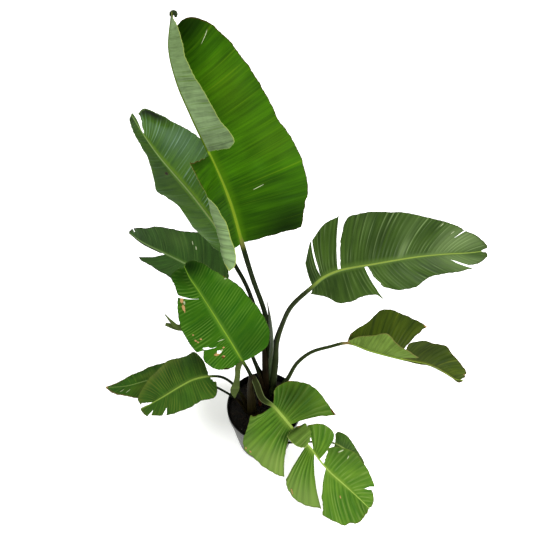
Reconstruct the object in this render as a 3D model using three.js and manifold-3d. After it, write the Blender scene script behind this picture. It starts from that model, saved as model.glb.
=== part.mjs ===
// A white bird of paradise (Strelitzia nicolai) growing in a black nursery pot.
// Millimetres, +Z up. The origin is the middle of the pot's underside, on the floor.
// -Y is the front, the side the plant is looked at from; +X is to the right of that.
//
// Nodes: pot, soil, new_leaf (a rolled spear), leaf_a ... leaf_j, old_stub.
// Every leaf is one piece from its sheath in the soil to the tip of its blade.

import * as THREE from 'three';
import Module from 'manifold-3d';

const wasm = await Module();
wasm.setup();
const { Manifold, Mesh } = wasm;

// ---------------------------------------------------------------- driving sizes (mm)

const POT_HEIGHT = 232;        // floor to the top of the rim
const POT_RIM_RADIUS = 127;    // outside of the rolled rim, a 10 inch pot
const POT_FOOT_RADIUS = 96;    // outside, on the floor
const POT_BAND = 22;           // height of the thicker band below the rim
const POT_STEP = 3.5;          // how far the band stands out from the wall below it
const POT_WALL = 2.6;          // wall and floor thickness
const POT_ROUND = 3;           // bevel between the wall and the underside
const POT_SIDES = 48;

const SOIL_TOP = 205;          // height of the soil's surface at its edge
const SOIL_CROWN = 5;          // how much higher it is in the middle
const SOIL_RADIUS = 118;       // where that crown has run out
const SOIL_GAP = 0.8;          // between the soil and the pot's wall
const SOIL_LIFT = 0.5;         // between the soil and the pot's floor
const SOIL_SIDES = 40;
const SOIL_RINGS = [0.82, 0.62, 0.42, 0.2];

const CLEARANCE = 0.5;         // between one stem and the next, and between stems and soil
const BLADE_THICK = 0.9;
const BLADE_RUN_IN = 60;       // length over which a petiole's outline turns into a midrib's
const CREST = [1, 0.4];        // height of the upper side, as a share, in petiole and in midrib
const CHANNEL = [0.45, 0.8];   // share left of it in the channel, in petiole and in midrib
const VEIN_LEAN = 0.6;         // share of a vein's forward sweep that is straight, the rest curves
const VEIN_STEPS = 80;         // short pieces a vein's line is added up from
const LEAST_OUT = 2;           // shortest vein, at the tip
const RING_STEP = 58;          // spacing of the rings along a stem
const SHRED_STEP = 20;         // the same along a torn strip
const COLUMN_STEP = 44;        // spacing of the columns along a blade
const SIMPLE_WITHIN = 0.06;    // faces flatter than this are joined after the pieces are cut
const BLADE_ROWS = [0, 0.2, 0.45, 0.72, 1];

// ---------------------------------------------------------------- the leaves
//
// path    points from the sheath's foot to the blade's tip; the midrib runs on from the petiole
// blade   the path point where the blade begins
// face    [point, x, y, z]: the way the upper side looks at that path point
// girth   [point, half width, half depth] of sheath, petiole and midrib
// right, left   the two halves of the blade seen from above with the tip pointing away, each a
//         list of segments between tears. A segment has stations
//         [along, out, forward, rise, curl, fold]: a vein leaves the midrib `along` mm from the
//         blade's base, its end is `out` mm across and `forward` mm further on, it sets off
//         `rise` degrees above the blade's plane, turns by `curl` on its way to the margin and
//         by `fold` more about the place given in `crease` as [share of the way, share wide].
//         `join` is the share of the vein that still holds a segment to the one before it.
// shreds  torn strips that hang from the blade, drawn like thin flat stems

const LEAVES = {
  leaf_a: {
    path: [[12, 52, 165], [13, 54, 400], [14, 60, 570], [2, 70, 650], [-30, 77, 790], [-55, 75, 930],
      [-82, 124, 1022], [-107, 156, 1080], [-130, 179, 1130], [-167, 216, 1205], [-196, 247, 1275],
      [-207, 268, 1335], [-196, 298, 1404]],
    blade: 5,
    face: [[0, 1, -1, 0.3], [4, 1, -1, 0.3], [5, 0.15, -0.85, 0.5]],
    girth: [[0, 14, 14], [1, 13, 12], [2, 8.5, 8], [3, 7.5, 7], [5, 6.5, 6], [8, 4.2, 4.2], [12, 1.5, 1.4]],
    right: [{ st: [[0, 155, -5, 8, -15], [55, 180, 5, 8, -15], [95, 195, -10, 8, -15],
      [120, 200, 0, 8, -15], [190, 192, 17, 8, -15], [228, 182, 12, 8, -15], [265, 180, 20, 10, -15],
      [310, 173, 32, 10, -15], [355, 162, 36, 12, -15], [425, 125, 59, 15, -10],
      [460, 92, 64, 15, 0], [495, 45, 52, 15, 0], [505, 33, 40, 15, 0], [514, 23, 24, 15, 0],
      [522, 18, 5, 15, 0], [532, 10, -3, 15, 0], [552, 2, 0, 15, 0]] }],
    left: [
      { crease: [0.63, 0.35], st: [[0, 96, -33, 20, 0, 82], [8, 102, -38, 20, 0, 116],
        [18, 104, -36, 20, 0, 144], [35, 97, -35, 20, 0, 151], [55, 95, -32, 20, 0, 141],
        [75, 94, -30, 20, 0, 139], [110, 98, -32, 20, 0, 133], [130, 95, -29, 25, 0, 110],
        [145, 93, -26, 30, 0, 91], [160, 91, -21, 35, 0, 68], [180, 74, -20, 40, 0, 32],
        [210, 63, -15, 40, 0, 0], [230, 66, 7, 40, 0, 0]] },
      { st: [[240, 142, 3, 100, 15], [246, 177, 4, 100, 15], [254, 187, 5, 100, 15],
        [270, 182, 0, 100, 15], [300, 169, -6, 100, 15],
        [352, 138, -10, 103, 12], [405, 107, -3, 106, 10], [455, 86, 7, 108, 10],
        [495, 61, 9, 110, 10], [522, 42, 11, 110, 0], [552, 2, 0, 90, 0]] },
    ],
  },
  leaf_b: {
    path: [[9, 52, 165], [8, 53, 380], [0, 57, 520], [-21, 77, 630], [-50, 94, 745], [-94, 118, 845],
      [-126, 160, 900], [-160, 188, 940], [-200, 225, 975], [-240, 260, 1005], [-284, 300, 1040],
      [-317, 340, 1065], [-363, 416, 1085]],
    blade: 5,
    face: [[0, 1, -0.6, 0.3], [4, 1, -0.6, 0.3], [5, 0, -0.62, 0.78]],
    girth: [[0, 21, 19], [1, 18, 15], [2, 11, 9], [3, 7, 6.5], [5, 5.5, 5], [8, 4, 4], [12, 1.5, 1.4]],
    right: [
      { st: [[0, 45, 22, 15, -25], [55, 78, 50, 15, -25], [135, 108, 45, 12, -25],
        [195, 116, 45, 10, -25], [245, 120, 37, 8, -25], [285, 109, 37, 8, -25], [325, 87, 50, 8, -25],
        [363, 65, 61, 8, -25], [383, 38, 80, 8, -20], [394, 21, 66, 8, -10]] },
      { st: [[405, 7, 42, 5, 0], [440, 6, 34, 5, 0], [479, 4, 4, 5, 0]] },
    ],
    left: [{ st: [[0, 40, 27, -35, -15], [42, 66, 25, -35, -15], [88, 71, 27, -35, -15],
      [127, 62, 43, -35, -15], [171, 75, 57, -35, -15], [221, 84, 50, -35, -15],
      [251, 70, 38, -35, -15], [297, 39, 30, -30, -15], [352, 26, 26, -25, -10],
      [406, 22, 14, -20, 0], [479, 12, -12, 0, 0]] }],
  },
  leaf_c: {
    path: [[2, 52, 165], [-2, 52, 290], [-21, 52, 375], [-39, 63, 440], [-76, 134, 530],
      [-113, 202, 610], [-182, 234, 630], [-258, 278, 640], [-328, 324, 638], [-405, 386, 622],
      [-469, 458, 600]],
    blade: 5,
    face: [[0, 1, -0.3, 0.5], [2, 1, -0.3, 0.5], [4, 0.5, -0.4, 0.8], [5, -0.15, -0.35, 0.92]],
    girth: [[0, 29, 24], [1, 22, 13], [2, 9, 7.5], [3, 6, 5.5], [5, 5, 4.5], [10, 1.4, 1.3]],
    right: [{ st: [[0, 80, 99, 8, -20], [47, 127, 73, 8, -20], [103, 109, 80, 8, -20],
      [140, 93, 90, 8, -20], [187, 83, 91, 8, -20], [238, 72, 91, 8, -20], [287, 54, 81, 8, -15],
      [339, 37, 72, 8, -10], [397, 19, 49, 5, 0], [449, 3, 5, 0, 0]] }],
    left: [
      { st: [[0, 78, 24, -10, -25], [65, 71, 40, -10, -25], [121, 64, 41, -10, -25],
        [163, 62, 46, -10, -25], [187, 57, 75, -10, -20], [212, 56, 92, -10, -20],
        [238, 49, 95, -10, -10]] },
      { st: [[247, 6, 13, 0, 0], [313, 6, 20, 0, 0], [448, 3, 0, 0, 0]] },
    ],
  },
  leaf_d: {
    path: [[-46, -8, 165], [-44, -10, 300], [-38, -17, 434], [-48, -16, 476], [-64, -15, 528],
      [-86, 8, 562], [-123, 42, 620], [-155, 70, 672], [-187, 101, 715], [-214, 127, 750],
      [-225, 142, 772]],
    blade: 4,
    face: [[0, 0.9, -0.6, 0.4], [3, 0.9, -0.6, 0.4], [4, 0.02, -0.76, 0.64]],
    girth: [[0, 12, 11], [1, 11, 10], [2, 7, 6], [3, 5.5, 5], [4, 5.2, 4.8], [7, 3.4, 3.4],
      [10, 1.4, 1.3]],
    right: [{ st: [[0, 71, 14, 34, -30], [18, 101, 0, 34, -30], [39, 120, 2, 34, -30],
      [71, 131, 3, 34, -30], [108, 134, 7, 34, -30], [162, 127, 7, 34, -30], [212, 115, 1, 34, -30],
      [253, 95, -4, 34, -30], [280, 76, 1, 34, -30], [301, 57, 18, 34, -30], [317, 29, 23, 24, -20],
      [329, 6, 10, 12, 0]] }],
    left: [
      { st: [[0, 50, -11, 5, -30], [15, 83, -9, 5, -30], [36, 99, -2, 5, -30],
        [56, 101, 5, 5, -30], [68, 86, 15, 5, -30]] },
      { join: 0.4, st: [[75, 109, 11, 5, -30], [97, 116, 22, 5, -30], [133, 112, 19, 5, -30],
        [169, 104, 20, 5, -30], [201, 86, 30, 5, -30], [222, 66, 42, 5, -30]] },
      { join: 0.2, st: [[226, 62, 44, 5, -30], [259, 50, 45, 5, -25], [286, 42, 43, 5, -20],
        [307, 22, 24, 5, -10], [327, 10, 4, 0, 0]] },
    ],
    shreds: [
      { path: [[-68, -16, 530], [-78, -24, 503], [-80, -30, 474], [-85, -34, 434], [-92, -36, 395],
        [-94, -36, 346]],
        face: [[0, -0.3, -1, 0.4], [5, 0.3, -1, 0.2]],
        girth: [[0, 8, 1], [1, 9, 1], [2, 8, 1], [3, 10, 1], [4, 14, 1], [5, 2, 0.8]] },
      { path: [[-232, 50, 636], [-252, 52, 614], [-270, 58, 622], [-286, 64, 650]],
        face: [[0, 0, -0.8, 0.6]], girth: [[0, 9, 0.9], [1, 8, 0.9], [2, 5, 0.8], [3, 1.5, 0.6]] },
      { path: [[-236, 48, 622], [-252, 53, 608], [-272, 58, 602], [-291, 62, 606]],
        face: [[0, 0, -0.8, 0.6]], girth: [[0, 9, 0.9], [1, 9, 0.9], [2, 8, 0.8], [3, 5, 0.6]] },
    ],
  },
  leaf_e: {
    path: [[-56, -8, 165], [-62, -5, 212], [-84, 6, 243], [-123, 26, 262], [-160, 41, 275],
      [-202, 56, 280], [-291, 85, 270], [-398, 86, 248], [-482, 79, 220], [-566, 93, 185]],
    blade: 5,
    face: [[0, 0.6, 0, 0.8], [4, 0.6, 0, 0.8], [5, -0.2, -0.15, 0.95]],
    girth: [[0, 26, 22], [1, 15, 8], [2, 5, 4.5], [3, 4, 3.8], [5, 3.8, 3.5], [9, 1.3, 1.2]],
    right: [{ st: [[0, 31, 31, 5, -20], [74, 55, 48, 5, -20], [148, 58, 24, 5, -20],
      [203, 49, 23, 5, -20], [260, 36, 20, 5, -10], [322, 13, 25, 5, 0], [384, 2, 3, 0, 0]] }],
    left: [{ st: [[0, 48, 19, -5, -20], [74, 75, 33, -5, -20], [148, 71, 49, -5, -20],
      [203, 55, 52, -5, -20], [248, 31, 54, -5, -10], [300, 20, 47, -5, 0], [384, 2, 2, 0, 0]] }],
  },
  leaf_f: {
    path: [[-52, -5, 165], [-58, 1, 215], [-82, 24, 268], [-109, 45, 298], [-144, 54, 322],
      [-183, 50, 332], [-230, 43, 326], [-285, 22, 308], [-329, 2, 290], [-369, -12, 270],
      [-413, -23, 245]],
    blade: 5,
    face: [[0, 0.6, -0.2, 0.8], [4, 0.6, -0.2, 0.8], [5, -0.25, -0.2, 0.93]],
    girth: [[0, 20, 17], [1, 14, 9], [2, 5.5, 5], [3, 4.6, 4.4], [5, 4.2, 4], [10, 1.3, 1.2]],
    right: [
      { st: [[1, 62, 17, 10, -30], [20, 99, 22, 10, -30], [48, 99, 15, 10, -30],
        [81, 109, 3, 10, -30], [114, 115, 5, 10, -30], [141, 104, 23, 10, -30],
        [169, 77, 45, 10, -25], [189, 53, 57, 10, -20], [200, 36, 59, 10, -10],
        [208, 18, 48, 5, 0]] },
      { st: [[217, 3, 20, 0, 0], [258, 3, 2, 0, 0]] },
    ],
    left: [
      { st: [[1, 23, -24, -5, -20], [10, 48, -32, -5, -20], [27, 73, -34, -5, -20],
        [51, 75, -6, -5, -20], [85, 77, 17, -5, -20], [114, 71, 31, -5, -20],
        [146, 59, 40, -5, -20]] },
      { join: 0.7, st: [[152, 54, 45, -5, -20], [189, 35, 43, -5, -15]] },
      { join: 0.7, st: [[195, 32, 48, -5, -10], [213, 18, 40, -5, 0], [238, 4, 22, -5, 0],
        [258, 2, 2, 0, 0]] },
    ],
  },
  leaf_g: {
    path: [[20, 52, 165], [26, 54, 300], [32, 58, 400], [38, 63, 520], [53, 69, 592], [79, 63, 692],
      [133, 66, 772], [158, 79, 790], [200, 90, 808], [242, 92, 820], [284, 94, 828],
      [348, 102, 836], [414, 114, 838], [483, 127, 834], [567, 145, 822], [605, 157, 815]],
    blade: 6,
    face: [[0, -1, -0.2, 0.3], [4, -1, -0.2, 0.3], [5, -0.6, -0.3, 0.8], [6, 0, -0.4, 0.9]],
    girth: [[0, 18, 16], [1, 17, 15], [2, 15, 13], [3, 11, 9.5], [4, 8, 7.5], [5, 7, 6.5], [6, 6, 5.5],
      [9, 4, 4], [15, 1.4, 1.3]],
    right: [
      { st: [[0, 12, -19, -10, -25], [34, 54, -18, -10, -25], [66, 85, -14, -10, -25],
        [95, 90, 6, -10, -25], [118, 81, 21, -10, -25], [134, 84, 35, -10, -25],
        [151, 98, 40, -10, -25]] },
      { st: [[158, 66, 37, -10, -25], [169, 77, 50, -10, -25], [194, 83, 62, -10, -25],
        [222, 79, 65, -10, -25], [249, 63, 69, -10, -25], [291, 56, 74, -10, -25],
        [334, 51, 81, -10, -20], [363, 45, 94, -10, -15]] },
      { join: 0.4, st: [[369, 36, 76, -10, -15], [408, 29, 72, -10, -10], [439, 15, 68, -5, 0],
        [469, 6, 42, -5, 0], [490, 3, 18, 0, 0]] },
    ],
    left: [
      { st: [[0, 60, 25, 10, -20], [16, 84, 40, 10, -20], [29, 104, 42, 10, -20]] },
      { join: 0.1, st: [[34, 106, 34, 10, -20], [45, 129, 55, 10, -20], [66, 145, 63, 10, -20],
        [81, 152, 51, 10, -20]] },
      { st: [[88, 121, 37, 10, -20], [96, 143, 40, 10, -20], [113, 151, 48, 10, -20],
        [146, 150, 61, 10, -20], [189, 137, 84, 10, -20], [233, 119, 97, 10, -20],
        [278, 99, 105, 10, -20], [317, 85, 104, 10, -20], [355, 65, 99, 10, -20]] },
      { join: 0.7, st: [[358, 62, 99, 10, -20], [393, 45, 97, 10, -15], [424, 25, 87, 10, -5],
        [456, 10, 61, 5, 0], [490, 4, 12, 0, 0]] },
    ],
  },
  leaf_h: {
    path: [[24, 48, 165], [34, 46, 230], [54, 39, 280], [77, 36, 345], [105, 51, 412],
      [149, 56, 468], [203, 53, 502], [253, 54, 520], [318, 22, 527], [375, 3, 526],
      [435, -8, 516], [497, -13, 500], [544, -27, 480], [580, -36, 458], [619, -26, 438]],
    blade: 7,
    face: [[0, -0.8, 0, 0.6], [3, -0.8, 0, 0.6], [6, -0.4, 0, 0.9], [7, 0.1, -0.1, 1]],
    girth: [[0, 24, 20], [1, 18, 13], [2, 10, 8.5], [3, 7.5, 7], [5, 5.8, 5.5], [7, 5, 4.6],
      [14, 1.4, 1.3]],
    right: [
      { st: [[0, 17, 10, 80, 10], [33, 43, 8, 92, 10], [63, 68, 14, 95, 10], [88, 88, 18, 95, 10],
        [100, 81, 20, 95, 10], [112, 68, 24, 92, 10], [139, 59, 27, 85, 10],
        [163, 42, 43, 75, 10]] },
      { st: [[172, 20, 30, 45, 10], [227, 20, 32, 45, 10], [294, 14, 34, 45, 0],
        [373, 4, 12, 20, 0]] },
    ],
    left: [
      { st: [[0, 29, 10, 20, -15], [33, 76, -8, 20, -20], [60, 125, -16, 20, -20],
        [88, 148, 5, 20, -20], [115, 146, 28, 20, -20], [139, 137, 52, 20, -20],
        [157, 120, 77, 20, -15]] },
      { st: [[166, 54, 20, 25, -10], [178, 69, 45, 25, -15], [203, 68, 70, 25, -15],
        [233, 67, 76, 25, -15], [263, 55, 63, 25, -10], [294, 45, 60, 20, 0], [331, 41, 53, 15, 0],
        [373, 9, 30, 10, 0]] },
    ],
  },
  leaf_i: {
    path: [[-42, -14, 165], [-42, -22, 300], [-42, -34, 430], [-36, -36, 478], [-25, -38, 440],
      [-1, -57, 370], [27, -63, 345], [56, -92, 335], [89, -127, 318], [120, -154, 297],
      [153, -180, 272], [175, -203, 252], [202, -226, 232], [242, -251, 205], [286, -279, 175],
      [329, -308, 142]],
    blade: 6,
    face: [[0, 0, 1, 0.1], [2, 0, 1, 0.2], [3, 0, 0.2, 1], [4, 0.1, -0.8, 0.6], [5, 0.1, -0.7, 0.7],
      [6, 0.07, -0.45, 0.88]],
    girth: [[0, 18, 15], [1, 14, 11], [2, 9, 6], [3, 8, 4], [4, 10, 4.5], [5, 9, 4.5], [6, 5.5, 4.8],
      [9, 3.6, 3.6], [15, 1.3, 1.2]],
    right: [
      { st: [[0, 83, -32, 25, -95], [6, 112, -19, 10, -60], [11, 132, -15, 0, -45],
        [24, 149, -16, -5, -30], [38, 164, -3, -5, -30], [52, 162, 21, -5, -30], [66, 152, 57, -5, -30],
        [78, 137, 84, -5, -30], [90, 122, 97, -5, -30]] },
      { st: [[157, 131, 40, -5, -30], [167, 147, 62, -5, -30], [177, 148, 97, -5, -30],
        [184, 130, 124, -5, -30], [193, 90, 155, -5, -30]] },
      { st: [[251, 108, 104, -5, -25], [265, 99, 129, -5, -25], [287, 99, 133, -5, -25],
        [312, 80, 115, -5, -25], [341, 59, 103, -5, -20], [372, 34, 74, -5, -10],
        [402, 20, 42, -5, 0], [425, 14, 20, 0, 0], [439, 8, 4, 0, 0]] },
    ],
    left: [
      { st: [[0, 35, -26, 10, -25], [13, 59, -44, 10, -25], [24, 95, -48, 10, -25],
        [38, 117, -34, 10, -25], [52, 134, -17, 10, -25], [66, 140, 9, 10, -25],
        [78, 134, 72, 10, -25]] },
      { crease: [0.38, 0.3], st: [[97, 40, -4, 15, 0, 165], [104, 95, -10, 15, 0, 165],
        [122, 118, -11, 15, 0, 165], [140, 91, 0, 15, 0, 165], [150, 45, 8, 15, 0, 165]] },
      { st: [[186, 38, -75, 35, -30], [193, 65, -69, 35, -30], [203, 83, -56, 35, -30],
        [211, 87, -37, 35, -30], [218, 78, -26, 35, -30]] },
      { st: [[237, 44, -25, 10, -20], [247, 66, -19, 10, -20], [260, 88, 1, 10, -20],
        [283, 97, 17, 10, -20], [307, 90, 31, 10, -20], [333, 80, 41, 10, -20],
        [355, 59, 59, 10, -20]] },
      { join: 0.6, st: [[361, 46, 50, 10, -20], [384, 32, 46, 10, -10], [412, 19, 27, 5, 0],
        [439, 8, 4, 0, 0]] },
    ],
  },
  leaf_j: {
    path: [[-38, -16, 165], [-34, -24, 215], [-8, -66, 256], [24, -148, 266], [65, -147, 262],
      [113, -143, 257], [165, -139, 250], [226, -139, 238], [248, -148, 232], [273, -163, 222],
      [298, -183, 208], [317, -206, 192]],
    blade: 7,
    face: [[0, -0.2, 0.2, 0.9], [6, -0.2, 0.2, 0.9], [7, 0.1, -0.3, 0.95]],
    girth: [[0, 22, 19], [1, 14, 9], [2, 4.6, 4.2], [3, 3.6, 3.4], [7, 3, 2.8], [11, 1.2, 1.1]],
    right: [{ st: [[0, 18, 0, -5, -20], [25, 33, 4, -5, -20], [56, 34, 11, -5, -20],
      [91, 16, 14, -5, -10], [124, 3, 1, 0, 0]] }],
    left: [{ st: [[0, 29, -7, 5, -20], [11, 39, -15, 5, -20], [25, 41, -7, 5, -20],
      [44, 31, 5, 5, -20], [65, 20, 14, 5, -15], [91, 13, 15, 5, 0], [124, 5, 0, 0, 0]] }],
  },
};

// The rolled new leaf and an old dried leaf base have a stem and no blade.
const NEW_LEAF = {
  path: [[16, 52, 165], [17, 51, 400], [22, 46, 575], [16, 53, 650], [9, 58, 716]],
  face: [[0, 1, 0, 0]],
  girth: [[0, 9, 9], [1, 9, 9], [2, 6, 6], [3, 4.5, 4.5], [4, 0.8, 0.8]],
};
const OLD_STUB = {
  path: [[-14, 8, 180], [-15, 8, 215], [-18, 10, 262]],
  face: [[0, 0, -1, 0]],
  girth: [[0, 6, 3.5], [1, 5, 3], [2, 3, 1.6]],
};

// Two shoots; in each the stems are nested, the youngest inside, every older sheath around it.
const MAIN_SHOOT = ['new_leaf', 'leaf_a', 'leaf_g', 'leaf_b', 'leaf_h', 'leaf_c'];
const SIDE_SHOOT = ['leaf_d', 'leaf_i', 'leaf_f', 'leaf_j', 'leaf_e'];
const STEMS = { ...LEAVES, new_leaf: NEW_LEAF, old_stub: OLD_STUB };

// ---------------------------------------------------------------- small vector helpers

const add = (a, b, k = 1) => a.map((v, i) => v + k * b[i]);
const scale = (a, k) => a.map((v) => v * k);
const cross = (a, b) => [a[1] * b[2] - a[2] * b[1], a[2] * b[0] - a[0] * b[2], a[0] * b[1] - a[1] * b[0]];
const dot = (a, b) => a[0] * b[0] + a[1] * b[1] + a[2] * b[2];
const unit = (a) => scale(a, 1 / Math.hypot(...a));
const smooth = (x) => { const c = Math.min(1, Math.max(0, x)); return c * c * (3 - 2 * c); };
const radians = (d) => (d * Math.PI) / 180;

// A smooth curve through rows of numbers at the given knots, straight beyond its two ends.
function curve(knots, rows, s) {
  const last = knots.length - 1;
  if (last === 0) return rows[0];
  const chord = (i) => scale(add(rows[i + 1], rows[i], -1), 1 / (knots[i + 1] - knots[i]));
  const slope = (i) => {
    if (i === 0) return chord(0);
    if (i === last) return chord(last - 1);
    const before = knots[i] - knots[i - 1];
    const after = knots[i + 1] - knots[i];
    return scale(add(scale(chord(i - 1), after), chord(i), before), 1 / (before + after));
  };
  let i = 0;
  while (i < last - 1 && s >= knots[i + 1]) i += 1;
  const h = knots[i + 1] - knots[i];
  const x = (s - knots[i]) / h;
  const c = Math.min(1, Math.max(0, x));
  const m0 = scale(slope(i), h);
  const m1 = scale(slope(i + 1), h);
  let row = scale(rows[i], 2 * c ** 3 - 3 * c * c + 1);
  row = add(row, m0, c ** 3 - 2 * c * c + c);
  row = add(row, rows[i + 1], 3 * c * c - 2 * c ** 3);
  row = add(row, m1, c ** 3 - c * c);
  if (x < 0) row = add(row, m0, x);
  if (x > 1) row = add(row, m1, x - 1);
  return row;
}

// Values given at some path points only, filled in evenly for the points between them.
function perPoint(list, count) {
  return Array.from({ length: count }, (_, i) => {
    let k = 0;
    while (k < list.length - 1 && list[k + 1][0] <= i) k += 1;
    const [here, ...low] = list[k];
    if (k === list.length - 1 || i <= here) return low;
    const [there, ...high] = list[k + 1];
    return add(scale(low, (there - i) / (there - here)), high, (i - here) / (there - here));
  });
}

// The line of a stem and midrib, measured in mm along the chain of its path points.
function spineOf(stem) {
  const { path } = stem;
  const knots = [0];
  for (let i = 1; i < path.length; i += 1) {
    knots.push(knots[i - 1] + Math.hypot(...add(path[i], path[i - 1], -1)));
  }
  const faces = perPoint(stem.face, path.length).map(unit);
  const girths = perPoint(stem.girth, path.length);
  const length = knots[path.length - 1];
  const bladeAt = stem.blade === undefined ? length : knots[stem.blade];
  const at = (s) => {
    const point = curve(knots, path, s);
    const along = unit(add(curve(knots, path, s + 0.5), curve(knots, path, s - 0.5), -1));
    const look = curve(knots, faces, s);
    const up = unit(add(look, along, -dot(look, along)));
    return { point, along, up, across: cross(along, up), girth: curve(knots, girths, s) };
  };
  return { at, length, bladeAt };
}

// ---------------------------------------------------------------- solids

function solid(points, triangles) {
  return new Manifold(new Mesh({
    numProp: 3,
    vertProperties: new Float32Array(points.flat()),
    triVerts: new Uint32Array(triangles.flat()),
  }));
}

// Rings of points joined into a closed tube, with flat ends.
function loft(rings) {
  const count = rings[0].length;
  const points = rings.flat();
  const triangles = [];
  for (let r = 0; r < rings.length - 1; r += 1) {
    for (let i = 0; i < count; i += 1) {
      const a = r * count + i;
      const b = r * count + ((i + 1) % count);
      triangles.push([a, b, b + count], [a, b + count, a + count]);
    }
  }
  const foot = points.length;
  const middle = (ring) => scale(ring.reduce((sum, p) => add(sum, p), [0, 0, 0]), 1 / count);
  points.push(middle(rings[0]), middle(rings[rings.length - 1]));
  const top = (rings.length - 1) * count;
  for (let i = 0; i < count; i += 1) {
    const j = (i + 1) % count;
    triangles.push([foot, j, i], [foot + 1, top + i, top + j]);
  }
  return solid(points, triangles);
}

// A stem's outline: a rounded keel below, a flatter upper side with a channel down its middle.
const KEEL = [20, -25, -65, -115, -155, 160, 125, 90, 55].map(radians);

function stemSolid(stem, grow = 0, sink = 0, step = RING_STEP) {
  const spine = spineOf(stem);
  const steps = Math.ceil(spine.length / step);
  const stations = Array.from({ length: steps + 1 }, (_, i) => (spine.length * i) / steps);
  if (sink) stations.unshift(-sink);
  const rings = stations.map((s) => {
    const { point, across, up, girth } = spine.at(s);
    const inBlade = smooth((s - spine.bladeAt) / BLADE_RUN_IN + 0.5);
    const between = ([petiole, midrib]) => (grow ? 1 : petiole + (midrib - petiole) * inBlade);
    return KEEL.map((a) => {
      const x = (girth[0] + grow) * Math.cos(a);
      const y = (girth[1] + grow) * Math.sin(a) * (a > 0 ? between(CREST) : 1);
      const atChannel = Math.abs(a - Math.PI / 2) < 0.01;
      return add(add(point, across, x), up, y * (atChannel ? between(CHANNEL) : 1));
    });
  });
  return loft(rings);
}

// Where the vein that leaves the midrib at a station lies, at each share of its length.
function vein(spine, side, station, crease, shares) {
  const [alongMm, out, forward, rise, curl, fold = 0] = station;
  const { point, along, up, across } = spine.at(spine.bladeAt + alongMm);
  const [at, wide] = crease;
  const found = [];
  let x = 0;
  let z = 0;
  let next = 0;
  const slopeAt = (g) => radians(rise + curl * g + fold * smooth((g - at) / wide + 0.5));
  for (let k = 0; k <= VEIN_STEPS; k += 1) {
    const g = k / VEIN_STEPS;
    while (next < shares.length && shares[next] <= g + 1e-9) {
      const sweep = forward * (VEIN_LEAN * shares[next] + (1 - VEIN_LEAN) * shares[next] ** 2);
      found.push(add(add(add(point, along, sweep), across, side * x), up, z));
      next += 1;
    }
    const angle = slopeAt(g + 0.5 / VEIN_STEPS);
    x += (out / VEIN_STEPS) * Math.cos(angle);
    z += (out / VEIN_STEPS) * Math.sin(angle);
  }
  return found;
}

// A sheet of quads given a thickness. cells[c] is how many rows of cells stand between columns
// c and c + 1, counted from the midrib; a tear leaves the outer ones away.
function sheet(columns, cells, side) {
  const rows = columns[0].length;
  const inside = (k, count) => Math.min(count - 1, Math.max(0, k));
  const at = (c, r) => columns[inside(c, columns.length)][inside(r, rows)];
  const middle = [];
  const normals = [];
  columns.forEach((column, c) => column.forEach((p, r) => {
    const heldBefore = c > 0 && cells[c - 1] >= Math.max(r, 1);
    const heldAfter = c < columns.length - 1 && cells[c] >= Math.max(r, 1);
    const low = heldBefore ? c - 1 : c;
    const high = heldAfter ? c + 1 : c;
    const alongBlade = add(at(high, r), at(low, r), -1);
    const acrossBlade = add(at(c, r + 1), at(c, r - 1), -1);
    middle.push(p);
    normals.push(scale(unit(cross(acrossBlade, alongBlade)), side));
  }));
  const faces = [];
  for (let c = 0; c < columns.length - 1; c += 1) {
    for (let r = 0; r < cells[c]; r += 1) {
      const a = c * rows + r;
      const b = a + rows;
      const [d, e] = [b + 1, a + 1];
      if (side > 0) faces.push([a, e, d], [a, d, b]);
      else faces.push([a, b, d], [a, d, e]);
    }
  }
  const n = middle.length;
  const half = BLADE_THICK / 2;
  const points = [half, -half].flatMap((k) => middle.map((p, i) => add(p, normals[i], k)));
  const triangles = [...faces, ...faces.map(([a, b, c]) => [a + n, c + n, b + n])];
  const edges = new Set(faces.flatMap(([a, b, c]) => [`${a},${b}`, `${b},${c}`, `${c},${a}`]));
  for (const edge of edges) {
    const [a, b] = edge.split(',').map(Number);
    if (!edges.has(`${b},${a}`)) triangles.push([b, a, a + n], [b, a + n, b + n]);
  }
  const used = new Map();
  const packed = triangles.map((t) => t.map((v) => {
    if (!used.has(v)) used.set(v, used.size);
    return used.get(v);
  }));
  return solid([...used.keys()].map((v) => points[v]), packed);
}

// One half of a blade: its segments, joined where the tear between two stops short of the midrib.
function halfBlade(spine, segments, side) {
  const solids = [];
  let columns = [];
  let cells = [];
  const rows = BLADE_ROWS.length - 1;
  for (const segment of segments) {
    const crease = segment.crease ?? [0.5, 0.3];
    const knots = segment.st.map((row) => row[0]);
    const reach = knots[knots.length - 1] - knots[0];
    const steps = Math.max(1, Math.round(reach / COLUMN_STEP));
    if (columns.length && segment.join === undefined) {
      solids.push(sheet(columns, cells, side));
      columns = [];
      cells = [];
    } else if (columns.length) {
      cells.push(Math.max(1, Math.round(segment.join * rows)));
    }
    for (let i = 0; i <= steps; i += 1) {
      const row = curve(knots, segment.st, knots[0] + (reach * i) / steps);
      row[1] = Math.max(row[1], LEAST_OUT);
      if (i) cells.push(rows);
      columns.push(vein(spine, side, row, crease, BLADE_ROWS));
    }
  }
  solids.push(sheet(columns, cells, side));
  return solids;
}

const largest = (made) => made.decompose().sort((a, b) => b.volume() - a.volume())[0];

function leafSolid(name) {
  const leaf = LEAVES[name];
  const spine = spineOf(leaf);
  let body = stemSolid(leaf);
  for (const shred of leaf.shreds ?? []) body = body.add(stemSolid(shred, 0, 0, SHRED_STEP));
  for (const blade of [...halfBlade(spine, leaf.right, 1), ...halfBlade(spine, leaf.left, -1)]) {
    body = body.add(blade);
  }
  return body;
}

// ---------------------------------------------------------------- pot and soil

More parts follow.
